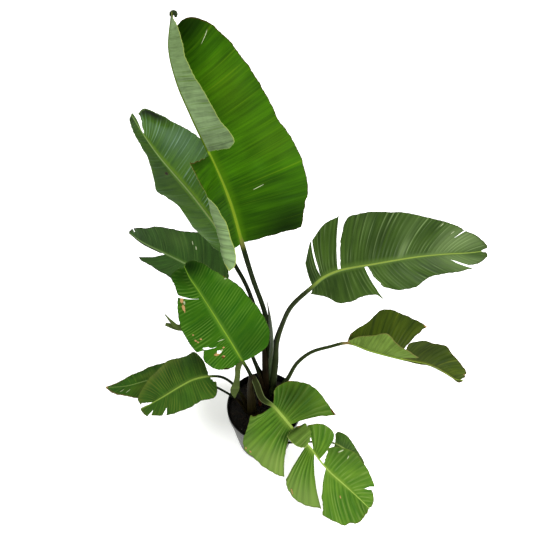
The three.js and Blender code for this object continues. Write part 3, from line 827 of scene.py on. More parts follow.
    def _taper(self, along: Array, share: Array, stretch: Stretch) -> None:
        """Draws the columns on either side of a tear together where it ends.

        Args:
            along: the points' distances along the midrib, which it changes.
            share: the share of the veins that each row is at.
            stretch: what bridges the tear.
        """
        low, high = stretch.knots[0], stretch.knots[-1]
        middle = (low + high) / 2
        reach = (1.0 - stretch.bridge) if high - low < self.SLIT else self.TEAR_END
        near = np.clip(np.abs(share - stretch.bridge) / reach, self.TEAR_TIP, 1.0)
        inside = (along[:, 0] > low - 0.01) & (along[:, 0] < high + 0.01)
        along[inside] = middle + (along[inside] - middle) * near

    def _columns(self, stretch: Stretch) -> int:
        """How many columns of cells a stretch has.

        Args:
            stretch: the stretch.

        Returns:
            How many.
        """
        reach = float(stretch.knots[-1] - stretch.knots[0])
        if stretch.bridge is not None:
            return max(1, round(reach / self.COLUMN))
        along = np.linspace(stretch.knots[0], stretch.knots[-1], self.PROBES)
        ends = self._points(along, np.ones(self.PROBES), stretch.read(along), stretch.crease)
        margin = float(np.linalg.norm(np.diff(ends, axis=0), axis=1).sum())
        return max(3, math.ceil(max(reach / self.COLUMN, margin / self.MARGIN_COLUMN)))

    def _pierce(self, grid: Grid, group: list[Stretch], hole: Hole) -> None:
        """Takes the cells of a hole away and draws its edge round.

        Args:
            grid: the sheet's grid, which it changes.
            group: the sheet's stretches.
            hole: the hole.
        """
        nearest = int(np.argmin(np.abs(grid.along[:, 0] - hole.along)))
        width = float(group[grid.zone[nearest]].read(np.array([hole.along]))[0, 0])
        u = (grid.along - hole.along) / hole.wide
        v = (grid.share - hole.share) * width / hole.deep
        turn = np.arctan2(v, u)
        (few, large), (many, small) = self.LOBES
        ragged = 1.0 + large * np.sin(few * turn + hole.along) + small * np.sin(many * turn + hole.wide)
        far = np.hypot(u, v) / ragged
        middle = (far[:-1, :-1] + far[1:, :-1] + far[:-1, 1:] + far[1:, 1:]) / 4
        grid.kept &= middle > 1.0
        gone = self._touching(~grid.kept & (middle <= 1.0))
        border = gone & self._touching(grid.kept) & (far > self.PUCKER)
        pull = np.where(border, 1.0 / np.maximum(far, self.PUCKER), 1.0)
        grid.along[...] = hole.along + (grid.along - hole.along) * pull
        grid.share[...] = hole.share + (grid.share - hole.share) * pull

    def _touching(self, cells: Array) -> Array:
        """Which points are corners of the cells chosen.

        Args:
            cells: true for each cell chosen.

        Returns:
            True for each point at one of their corners.
        """
        columns, rows = cells.shape
        found = np.zeros((columns + 1, rows + 1), bool)
        for i, j in ((0, 0), (0, 1), (1, 0), (1, 1)):
            found[i : i + columns, j : j + rows] |= cells
        return found

    def _points(self, along: Array, share: Array, rows: Array, crease: tuple[float, float]) -> Array:
        """Where points of the blade are.

        Args:
            along: each point's distance along the midrib.
            share: each point's share of its vein.
            rows: (out, forward, rise, curl, fold) of each point's vein.
            crease: where and how wide the fold is.

        Returns:
            One point for each.
        """
        place = self.spine.at(self.spine.blade_at + along)
        out, forward, rise, curl, fold = rows.T
        middles = (np.arange(self.STEPS) + 0.5) / self.STEPS
        way = share[:, None] * middles
        eased = smooth((way - crease[0]) / crease[1] + 0.5)
        angle = np.radians(rise[:, None] + curl[:, None] * way + fold[:, None] * eased)
        run = out * share / self.STEPS
        sideways = self.side * run * np.cos(angle).sum(axis=1)
        lift = run * np.sin(angle).sum(axis=1)
        sweep = forward * (self.LEAN * share + (1 - self.LEAN) * share**2)
        found = place.point + place.along * sweep[:, None]
        return found + place.across * sideways[:, None] + place.up * lift[:, None]

    def _sheet(self, group: list[Stretch], rows: int) -> Surface:
        """Makes one connected sheet with its unevenness, thickness and fields.

        Args:
            group: its stretches.
            rows: how many rows of cells it has.

        Returns:
            The closed sheet.
        """
        grid = self._grid(group, rows)
        points = np.zeros((*grid.along.shape, 3))
        grid.width = np.zeros(grid.along.shape)
        (long, high), (short, low) = self.NIBBLES
        for number, stretch in enumerate(group):
            held = grid.zone == number
            along, share = grid.along[held].ravel(), grid.share[held].ravel()
            read = stretch.read(along)
            nibble = wander(along, long, self.seed) * high + wander(along, short, self.seed + 1) * low
            nibble = nibble * np.minimum(1.0, read[:, 0] / self.FULL_NIBBLE)
            read[:, 0] = np.maximum(read[:, 0] + nibble, self.NARROWEST)
            points[held] = self._points(along, share, read, stretch.crease).reshape(-1, rows + 1, 3)
            grid.width[held] = read[:, 0].reshape(-1, rows + 1)
        normal = self._normals(points, grid.kept)
        gauge = points[:, round(self.GAUGE * rows)]
        arc = np.concatenate([[0.0], np.cumsum(np.linalg.norm(np.diff(gauge, axis=0), axis=1))])
        grid.arc = (arc + grid.along[0, 0])[:, None] * np.ones(rows + 1)
        points = points + normal * self._relief(grid)[..., None]
        return self._thicken(points, self._normals(points, grid.kept), grid)

    def _vein(self, grid: Grid) -> Array:
        """Which vein each point is on, by where that vein leaves the midrib."""
        return grid.arc - self.sweep * grid.share * grid.width

    def _phase(self, grid: Grid) -> Array:
        """How many pleats there are up to each point's vein."""
        pleat, vein = self.relief.pleat, self._vein(grid)
        return vein / pleat + 0.45 * wander(vein, 3.1 * pleat, self.seed)

    def _relief(self, grid: Grid) -> Array:
        """How far each point stands off the smooth blade.

        Args:
            grid: the sheet's grid.

        Returns:
            One height for each point.
        """
        r, arc, share, width = self.relief, grid.arc, grid.share, grid.width
        seed = self.seed + 2
        narrow = smooth(width / self.WIDE)
        inner = smooth(share / self.RIB_SIDE) * narrow
        ridge = np.sin(FULL_TURN * self._phase(grid))
        uneven = 0.65 + 0.35 * lumps(arc, share * width, 55.0, seed)
        pleats = r.depth * self.clear * ridge * inner * uneven * (1 - 0.35 * share)
        waves = r.wave * (wander(arc, r.turn, seed + 1) + 0.35 * wander(arc, 0.4 * r.turn, seed + 2))
        soft = self.SOFT * lumps(arc, share * width, 38.0, seed + 3) * inner
        return pleats + waves * share**1.8 * narrow + soft

    def _normals(self, points: Array, kept: Array) -> Array:
        """The blade's upward direction at each point, not reaching across tears.

        Args:
            points: the sheet's points, columns by rows.
            kept: which cells between them are there.

        Returns:
            One direction for each.
        """
        columns, rows = points.shape[:2]
        held = np.zeros((columns + 1, rows), bool)
        held[1:-1, :-1] |= kept
        held[1:-1, 1:] |= kept
        c, r = np.indices((columns, rows))
        low = np.where(held[:-1], c - 1, c)
        high = np.where(held[1:], c + 1, c)
        forward = points[high, r] - points[low, r]
        return unit(np.cross(np.gradient(points, axis=1), forward)) * self.side

    def _thicken(self, points: Array, normal: Array, grid: Grid) -> Surface:
        """Turns a grid of points into a closed sheet with upper, under and rim faces.

        Args:
            points: the sheet's points, columns by rows.
            normal: the upward direction at each.
            grid: the sheet's grid.

        Returns:
            The closed sheet.
        """
        kept, count = grid.kept, grid.arc.size
        number = np.arange(count).reshape(grid.arc.shape)
        a, b = number[:-1, :-1][kept], number[1:, :-1][kept]
        e, d = number[:-1, 1:][kept], number[1:, 1:][kept]
        top = np.stack([a, e, d, b] if self.side > 0 else [a, b, d, e], axis=1)
        free = ~np.pad(kept, 1)
        left, right = free[:-2, 1:-1][kept], free[2:, 1:-1][kept]
        inward, outward = free[1:-1, :-2][kept], free[1:-1, 2:][kept]
        edges = [(a, e, left), (e, d, outward), (d, b, right), (b, a, inward)]
        rims = np.concatenate([np.stack([p[f], q[f]], axis=1) for p, q, f in edges])
        if self.side < 0:
            rims = rims[:, ::-1]
        p, q = rims.T
        sides = np.stack([q, p, p + count, q + count], axis=1)
        faces = np.concatenate([top, top[:, ::-1] + count, sides])
        flat = points.reshape(-1, 3)
        lift = normal.reshape(-1, 3) * self.THICK / 2
        offset = 0.0 if self.side > 0 else self.OTHER_SIDE
        uv = np.stack([self._vein(grid).ravel() * METRES + offset, grid.share.ravel()], axis=1)
        used, packed = np.unique(faces, return_inverse=True)
        fields = self._fields(grid)
        return Surface(
            points=np.concatenate([flat + lift, flat - lift])[used],
            faces=[tuple(face) for face in packed.reshape(-1, 4).tolist()],
            paint=np.repeat([0, 1], [len(top), len(top) + len(sides)]),
            uv=np.concatenate([uv, uv])[used],
            fields={title: np.tile(values.ravel(), 2)[used] for title, values in fields.items()},
            creases=np.searchsorted(used, np.concatenate([rims, rims + count])),
        )

    def _fields(self, grid: Grid) -> dict[str, Array]:
        """Where each point is and how its surroundings look.

        Args:
            grid: the sheet's grid.

        Returns:
            The fields that the finishes read.
        """
        arc = grid.arc
        fields = {title: np.zeros_like(arc) for title in FIELDS}
        ends = np.minimum(arc - arc[:1], arc[-1:] - arc)
        inner = FAR_FROM_RIM * (1 - smooth(grid.share / 0.3))
        fields["rim"] = np.minimum((1.0 - grid.share) * grid.width, ends + inner)
        # Patches of painted light and shade.
        for painted_light_and_tone in self.painted_lights:
            if painted_light_and_tone.side == self.side:
                along, share = (grid.along - painted_light_and_tone.along) / painted_light_and_tone.wide, (grid.share - painted_light_and_tone.share) / painted_light_and_tone.deep
                fields["painted_light_and_tone"] += painted_light_and_tone.value * np.exp(-(along**2 + share**2))
        fields["at"] = self.side * grid.along
        fields["phase"] = self._phase(grid)
        fields["lines"] += self.clear
        return fields


# ------ stems


@dataclass(frozen=True)
class StemTube:
    """A stem as a fine closed tube: keeled below and channelled above."""

    stem: Stem  # its line and girth
    step: float = 5.0  # how far apart its rings are
    channel: float = 0.55  # how deep its channel is, as a share of its depth
    paint: int = 2  # the material's number
    seed: int = 1  # picks its unevenness
    painted_light_and_tone: float = 0.0  # how much darker it is than a blade, below 0

    AROUND = 28
    FEWEST_RINGS = 8
    THINNEST = 0.4  # half width in mm
    CREST = 0.6  # how much flatter its top is within the blade
    DIP = 0.5  # half width of the channel, in radians
    KEEL = 0.35  # half width of the keel, in radians
    KEEL_DEPTH = 0.05  # as a share of its depth
    SWELLS = ((31.0, 0.03), (7.0, 0.012))  # (mm between its swellings, their share of its girth)
    JOINT = 60.0  # mm in which the petiole turns into the midrib
    SHEATH = 7.0  # half width in mm from which a stalk looks like a sheath, and the ease to it
    NOWHERE = 9999.0  # a distance along the blade at which no blemish is

    def surface(self) -> Surface:
        """Makes the tube.

        Returns:
            The closed tube with the fields that the finishes read.
        """
        spine = Spine(self.stem)
        count = max(self.FEWEST_RINGS, math.ceil(spine.length / self.step))
        s = np.linspace(0.0, spine.length, count + 1)
        place = spine.at(s)
        in_blade = smooth((s - spine.blade_at) / self.JOINT + 0.5)
        turn = FULL_TURN * (np.arange(self.AROUND) + 0.5) / self.AROUND - math.pi
        (long, large), (short, small) = self.SWELLS
        slow, fast = wander(s, long, self.seed)[:, None], wander(s, short, self.seed + 1)[:, None]
        grow = 1 + large * slow + small * fast
        width, depth = (np.maximum(place.girth[:, k : k + 1], self.THINNEST) * grow for k in (0, 1))
        crest = np.where(turn > 0, 1 - self.CREST * in_blade[:, None], 1.0)
        dip = self.channel * (1 - 0.6 * in_blade[:, None])
        channel = 1 - dip * np.exp(-(((turn - math.pi / 2) / self.DIP) ** 2))
        keel = 1 + self.KEEL_DEPTH * np.exp(-(((turn + math.pi / 2) / self.KEEL) ** 2))
        rings = place.rings(width * np.cos(turn), depth * np.sin(turn) * crest * channel * keel)
        points, faces = tube(rings)
        share = np.abs(((turn + math.pi / 2 + math.pi) % FULL_TURN) - math.pi) / math.pi
        uv = np.stack([np.repeat(s * METRES, self.AROUND), np.tile(share, count + 1)], axis=1)
        uv = np.concatenate([uv, [[0.0, 0.0], [spine.length * METRES, 0.5]]])
        base = smooth((place.girth[:, 0] - self.SHEATH) / self.SHEATH)
        fields = {title: np.zeros(len(points)) for title in FIELDS}
        constant = {"rim": FAR_FROM_RIM, "at": self.NOWHERE, "painted_light_and_tone": self.painted_light_and_tone}
        fields.update({title: np.full(len(points), value) for title, value in constant.items()})
        fields["blade"] = np.append(np.repeat(in_blade, self.AROUND), [0.0, in_blade[-1]])
        fields["base"] = np.append(np.repeat(base, self.AROUND), [base[0], 0.0])
        return Surface(points, faces, np.full(len(faces), self.paint), uv, fields)


# ------ finishes of the leaves


@dataclass(frozen=True)
class BladeFinish:
    """How a leaf's blade looks."""

    fresh: str  # its lighter green
    deep: str  # its darker green
    under: str  # its underside
    rib: str  # the green beside its midrib
    crest: str  # the pale green painted on its pleats' crests as highlight, and in its patches of painted light
    edge: str  # its dry rim, seen from above
    hem: str = "93a458"  # the same from below
    gloss: float = 0.04  # how strongly it reflects
    rough: float = 0.5  # how soft its reflections are
    lines: float = 0.4  # how strongly the painted highlight on the crests and the painted shade in the folds show
    even: float = 0.5  # how evenly they follow the pleats

    FINE = (520.0, 3.0)  # the finest fibres' turns in a metre, and from the midrib to the margin
    UNDER_GLOSS = 0.03

    def upper(self, name: str, marks: tuple[Mark, ...]) -> Material:
        """The upper side.

        Args:
            name: the leaf's name.
            marks: its blemishes.

        Returns:
            The material.
        """
        shader = Shader(name + "_upper")
        bands = shader.fibres(42.0, 0.9).between(0.36, 0.64)
        stripe = shader.fibres(150.0, 0.7).between(0.38, 0.62)
        fine = shader.fibres(*self.FINE)
        patch = shader.noise(12.0)
        level = bands * 0.4 + stripe * 0.25 + patch.between(0.3, 0.7) * 0.25 + (fine - 0.5) * 0.7
        shader.colour = shader.mix((level + 0.05).clamp(), self.deep, self.fresh)
        self._pleats(shader)
        shader.coat(shader.veins[1].between(0.13, 0.0) * 0.7, self.rib)
        self._rim(shader, shader.noise(210.0), self.edge)
        self._blemishes(shader, marks)
        rough = (patch - 0.5) * 0.2 + self.rough + (fine - 0.5) * 0.15
        bump = (fine * 0.5 + shader.noise(620.0) * 0.5, 0.0005, 0.45)
        return shader.finish(rough, self.gloss, bump)

    def lower(self, name: str, marks: tuple[Mark, ...]) -> Material:
        """The underside and the rims.

        Args:
            name: the leaf's name.
            marks: its blemishes.

        Returns:
            The material.
        """
        shader = Shader(name + "_under")
        bands = shader.fibres(60.0, 1.2).between(0.34, 0.66)
        stripe = shader.fibres(170.0, 0.8).between(0.38, 0.62)
        fine = shader.fibres(*self.FINE)
        fleck = shader.noise(180.0)
        bloom = shader.noise(26.0, 3.0)
        level = bands * 0.3 + stripe * 0.35 + (fine - 0.5) * 0.6 + bloom.between(0.35, 0.65) * 0.2
        shader.colour = shader.mix(level.clamp(), paint(self.under, 1.2), paint(self.under, 0.5))
        self._pleats(shader)
        self._rim(shader, fleck, self.hem)
        self._blemishes(shader, marks)
        bump = (fine * 0.7 + fleck * 0.3, 0.0007, 0.5)
        return shader.finish((bloom - 0.5) * 0.2 + 0.62, self.UNDER_GLOSS, bump)

    def _pleats(self, shader: Shader) -> None:
        """Adds painted highlight on the pleats' crests, painted shade in their folds, and the patches of
        painted light and shade.

        Args:
            shader: the material.
        """
        along, share = shader.veins
        thin = shader.fibres(230.0, 0.4, 1.0) - 0.5
        ridge = (shader.field("phase") * FULL_TURN).sine() * self.even + thin * (5.0 - 3.6 * self.even)
        here = shader.noise(1.0, 1.0, shader.vector(along * 22.0, share * 1.3 + 7.0)).between(0.34, 0.62)
        here = here * share.between(0.04, 0.2) * shader.field("lines") * self.lines
        # Painted highlight on the pleats' crests and painted shade in their folds.
        shader.coat(ridge.between(0.25, 1.1) * here, self.crest)
        shader.coat(ridge.between(-0.35, -1.2) * here * 0.8, paint(self.deep, 0.4))
        # Patches of painted light in the crests' pale green, and of painted shade in a near-black green.
        painted_light_and_tone = shader.field("painted_light_and_tone")
        shader.coat(painted_light_and_tone.clamp(), self.crest)
        shader.coat((0.0 - painted_light_and_tone).clamp(), paint(self.deep, 0.12))

    def _rim(self, shader: Shader, fleck: Number, edge: str) -> None:
        """Adds the blade's thin dry rim, flecked and of that colour."""
        rim = shader.field("rim") + (fleck - 0.5) * 3.0
        shader.coat(rim.between(2.6, 1.0) * 0.8, edge)

    def _blemishes(self, shader: Shader, marks: tuple[Mark, ...]) -> None:
        """Adds ragged blemishes, each with a browner rim.

        Args:
            shader: the material.
            marks: the blemishes.
        """
        at = shader.field("at")
        coarse, fine = shader.noise(95.0, 1.0), shader.noise(330.0, 3.0)
        ragged = (fine - 0.5) * 2.6 + (coarse - 0.5) * 2.0
        for mark in marks:
            across = (shader.veins[1] - mark.share) * (1.0 / mark.deep)
            beside = (at - mark.side * mark.along - across * mark.lean) * (1.0 / mark.wide)
            near = 1.0 - (across * across + beside * beside) + ragged * min(1.0, mark.wide / 3.0)
            shader.coat(near.between(-0.55, 0.05) * 0.5, Kind.BROWN.value)
            shader.coat(near.between(0.0, 0.4) * 0.95, mark.kind.value)


@dataclass(frozen=True)
class StemFinish:
    """How a leaf's sheath, petiole and midrib look."""

    sheath: str  # the sheath's own colour, made darker as painted shade of the clump
    petiole: str  # the petiole's own colour, made darker as painted shade of the clump
    rib: str  # the pale crest of the midrib
    side: str  # the midrib's sides
    crest: float = 0.7  # where the pale crest begins, as a share of the way from below to above
    foot: float = 0.1  # how far up, in metres, even a thin stalk has the sheath's dark colour, as painted shade low in the clump
    hem: float = 0.0  # how pale the petiole's two edges are
    joint: float = 0.0  # how brown it is where the blade begins

    EDGE, JOINT, SCAR = "7f8f58", "8f7a50", "4f4422"  # the petiole's edges, its joint, old scars
    GLOSS = 0.02

    def material(self, name: str) -> Material:
        """The whole stalk.

        Args:
            name: the leaf's name.

        Returns:
            The material.
        """
        shader = Shader(name + "_stalk")
        along, share = shader.veins
        blade, base = shader.field("blade"), shader.field("base")
        streak = shader.fibres(6.0, 26.0, 3.0)
        fleck = shader.noise(240.0, 3.0)
        patch = shader.noise(22.0, 3.0)
        dull = (streak - 0.5) * 0.9 + (patch - 0.5) * 0.7
        rib = shader.mix((dull + 0.35).clamp(), paint(self.rib, 1.15), paint(self.rib, 0.75))
        rib = shader.mix(share.between(self.crest + 0.1, self.crest - 0.1), rib, self.side)
        stalk = shader.mix((dull + 0.4).clamp(), paint(self.petiole, 0.6), paint(self.petiole, 1.3))
        sheath = shader.mix((dull * 1.5 + 0.4).clamp(), paint(self.sheath, 0.4), paint(self.sheath, 1.7))
        # Painted shade: the sheath's dark colour carried up the stalk's foot.
        foot = along.between(self.foot + 0.03, self.foot - 0.01)
        pale = share.between(0.5, 0.58) * share.between(0.74, 0.64) * self.hem
        stalk = shader.mix((pale + dull * pale * 2.0).clamp(), stalk, self.EDGE)
        shader.colour = shader.mix(base.or_more(foot), stalk, sheath)
        shader.coat(blade, rib)
        knot = blade.between(0.0, 0.4) * blade.between(0.95, 0.6) * self.joint
        shader.coat((knot + dull * knot).clamp(), self.JOINT)
        scar = (fleck + (streak - 0.5) * 0.6).between(0.66, 0.74) * (1.0 - blade * 0.7)
        shader.coat(scar * 0.4, self.SCAR)
        groove = (share * 88.0).sine() * 0.5 + 0.5
        bump = (groove * (base * 0.5 + 0.25) + streak * 0.4 + fleck * 0.25, 0.0009, 0.5)
        rough = (patch - 0.5) * 0.2 + 0.45 + base * 0.15
        return shader.finish(rough, self.GLOSS, bump)


# ------ the leaves


@dataclass(frozen=True)
class Leaf:
    """A leaf: stalk, midrib and the two halves of its blade, with what tore and stained them and its
    patches of painted light and shade.
    """

    name: str
    stem: Stem
    right: tuple[Segment, ...]
    left: tuple[Segment, ...]
    blade: BladeFinish
    stalk: StemFinish
    relief: Relief
    shreds: tuple[Stem, ...] = ()
    shred_tone: float = 0.0
    marks: tuple[Mark, ...] = ()
    holes: tuple[Hole, ...] = ()
    # Its patches of painted light and shade.
    painted_lights: tuple[PaintedLight, ...] = ()

    def build(self) -> Object:
        """Makes and dresses the leaf."""
        spine = Spine(self.stem)
        parts = [StemTube(self.stem, seed=self.relief.seed).surface()]
        for side, segments in ((1, self.right), (-1, self.left)):
            parts += HalfBlade(spine, side, segments, self.relief, self.holes, self.painted_lights).sheets()
        for seed, shred in enumerate(self.shreds, self.relief.seed):
            parts.append(StemTube(shred, 3.0, 0.2, paint=1, seed=seed, painted_light_and_tone=self.shred_tone).surface())
        finishes = [self.blade.upper(self.name, self.marks), self.blade.lower(self.name, self.marks)]
        finishes.append(self.stalk.material(self.name))
        return settled(joined(parts).piece(self.name + "_skin", finishes), self.name)


@dataclass(frozen=True)
class Roll:
    """A thin piece that follows a stem's line in rings of points."""

    stem: Stem  # its line and girth
    step: float  # how far apart its rings are

    AROUND = 40

    def _turn(self) -> Array:
        """The angle of each point of a ring."""
        return FULL_TURN * np.arange(self.AROUND) / self.AROUND

    def _rise(self, s: Array) -> Array:
        """How far along the line each point is, in metres."""
        return np.append(np.repeat(s, self.AROUND), [0.0, s[-1]]) * METRES


@dataclass(frozen=True)
class SpearLeaf(Roll):
    """The newest leaf, still rolled up: a tapering roll whose outer edge winds round it."""

    LAP = 0.16  # how far the roll's outer edge stands out, as a share of its radius
    LAP_EDGE = 0.06  # the share of a turn in which it falls back
    PITCH = 210.0  # mm in which the edge winds round once
    RIBS, RIB_HEIGHT = 9, 0.02  # round the roll, and as a share of its radius
    THINNEST = 0.5  # half width in mm

    def build(self) -> Object:
        """Makes and dresses the rolled leaf."""
        spine = Spine(self.stem)
        s = spine.stations(self.step)
        place = spine.at(s)
        turn = self._turn()
        wound = (turn[None] / FULL_TURN + s[:, None] / self.PITCH) % 1.0
        lap = 1 - self.LAP * (1 - wound) * (1 - smooth((wound - (1 - self.LAP_EDGE)) / self.LAP_EDGE))
        ribs = 1 + self.RIB_HEIGHT * np.sin(wound * self.RIBS * FULL_TURN)
        radius = np.maximum(place.girth[:, :1], self.THINNEST) * lap * ribs
        points, faces = tube(place.rings(radius * np.cos(turn), radius * np.sin(turn)))
        fields = {"lap": np.append(wound.ravel(), [0.5, 0.5]), "rise": self._rise(s)}
        made = Surface(points, faces, fields=fields).piece("new_leaf_skin", [self._finish()])
        return settled(made, "new_leaf")

    def _finish(self) -> Material:
        """Dark green, browner along the roll's edge, nearly black at the tip."""
        shader = Shader("new_leaf_roll")
        lap, rise = shader.field("lap"), shader.field("rise")
        streak = shader.noise(1.0, 3.0, shader.vector(lap * 14.0, rise * 7.0))
        fleck = shader.noise(260.0, 3.0)
        shader.colour = shader.mix(streak.between(0.3, 0.7), "18230d", "33471c")
        shader.coat(lap.between(0.9, 1.0) * 0.6, "5b5428")
        shader.coat(rise.between(0.42, 0.55) * 0.8, "17160b")
        shader.coat(fleck.between(0.66, 0.75) * 0.4, "6a6136")
        bump = (streak * 0.7 + fleck * 0.3, 0.0007, 0.5)
        return shader.finish((fleck - 0.5) * 0.3 + 0.42, 0.3, bump)


@dataclass(frozen=True)
class OldStub(Roll):
    """The dried base of a leaf that has gone: a curled flake with a frayed top."""

    AROUND = 36
    TOP = 0.55  # the share of its height from which it frays
    FIBRES, FIBRE_HEIGHT = 9, 0.07  # round it, and as a share of its radius
    HOLLOW, HOLLOW_WIDE = 0.35, 0.5  # how deep it is curled in, and half how wide in radians
    FRAY = 5.0  # mm

    def build(self) -> Object:
        """Makes and dresses the stub."""
        spine = Spine(self.stem)
        s = spine.stations(self.step)
        place = spine.at(s)
        turn, up = self._turn(), s[:, None]
        top = smooth((s / spine.length - self.TOP) / (1 - self.TOP))[:, None]
        fibres = 1 + self.FIBRE_HEIGHT * np.sin(turn * self.FIBRES + 0.05 * up)
        fibres = fibres + 0.05 * lumps(turn[None] * 4, up / 9, 1.0, 7)
        hollow = 1 - self.HOLLOW * np.exp(-(((turn - math.pi / 2) / self.HOLLOW_WIDE) ** 2))
        radius = fibres * hollow * (1 - 0.15 * top * (1 + np.sin(turn * 5)))
        x, y = place.girth[:, :1] * radius * np.cos(turn), place.girth[:, 1:] * radius * np.sin(turn)
        fray = self.FRAY * top**3 * wander(turn * 3 + 40, 1.0, 11)
        points, faces = tube(place.rings(x, y) + place.along[:, None] * fray[..., None])
        around = np.append(np.tile(turn, len(s)), [0.0, 0.0])
        fields = {"rise": self._rise(s), "turn": np.sin(around * 3)}
        made = Surface(points, faces, fields=fields).piece("old_stub_skin", [self._finish()])
        return settled(made, "old_stub")

    def _finish(self) -> Material:
        """Dry red-brown fibre, paler at the frayed top."""
        shader = Shader("dry_leaf_base")
        rise, turn = shader.field("rise"), shader.field("turn")
        streak = shader.noise(1.0, 3.0, shader.vector(turn * 3.0, rise * 18.0))
        fleck = shader.noise(300.0, 3.0)
        shader.colour = shader.mix(streak.between(0.3, 0.7), "4a2415", "8c5034")
        shader.coat(fleck.between(0.55, 0.75) * 0.6, "2a150b")
        shader.coat(rise.between(0.06, 0.085) * 0.5, "a98460")
        bump = (streak * 0.6 + fleck * 0.4, 0.0009, 0.7)
        return shader.finish((fleck - 0.5) * 0.2 + 0.8, 0.15, bump)


# ------ pot and soil


class Tree(Nodes):
    """A geometry node tree in the making."""

    def __init__(self, name: str) -> None:
        """Starts a tree with geometry coming in and going out."""
        self.tree = bpy.data.node_groups.new(name, "GeometryNodeTree")
        for way in ("INPUT", "OUTPUT"):
            self.tree.interface.new_socket("Geometry", in_out=way, socket_type="NodeSocketGeometry")
        self.start = self.tree.nodes.new("NodeGroupInput")
        self.sizes: dict[str, float | int] = {}

    def size(self, name: str, value: float | int) -> NodeSocket:
        """Adds a named input for a size or a seed.

        Args:
            name: the input's name.
            value: its value, a whole number for a count or a seed.

        Returns:
            Its socket inside the tree.
        """
        kind = "NodeSocketInt" if isinstance(value, int) else "NodeSocketFloat"
        made = self.tree.interface.new_socket(name, in_out="INPUT", socket_type=kind)
        self.sizes[made.identifier] = value
        return self.start.outputs[name]

    def dressed(self, geometry: Node, material: Material) -> Node:
        """Makes instances real and gives all of the geometry a material."""
        plain = self.node("GeometryNodeRealizeInstances", {0: geometry})
        return self.node("GeometryNodeSetMaterial", {0: plain, "Material": material})

    def apply(self, made: Object, result: Node) -> Object:
        """Runs the tree on an object and makes its mesh plain.

        Args:
            made: the object.
            result: the node whose geometry goes out.

        Returns:
            The object, with its new smooth mesh and no modifier.
        """
        self.node("NodeGroupOutput", {0: result})
        modifier = made.modifiers.new(self.tree.name, "NODES")
        modifier.node_group = self.tree
        for identifier, value in self.sizes.items():
            modifier[identifier] = value
        depsgraph = bpy.context.evaluated_depsgraph_get()
        mesh = bpy.data.meshes.new_from_object(made.evaluated_get(depsgraph))
        made.modifiers.remove(modifier)
        made.data = mesh
        soften(mesh)
        return made


def wall_radius(z: float, inset: float = 0.0) -> float:
    """The radius below the pot's band at a height, inset mm within its outside."""
    return Pot.FOOT + (Pot.RIM - Pot.STEP - Pot.FOOT) * z / (Pot.HEIGHT - Pot.BAND) - inset


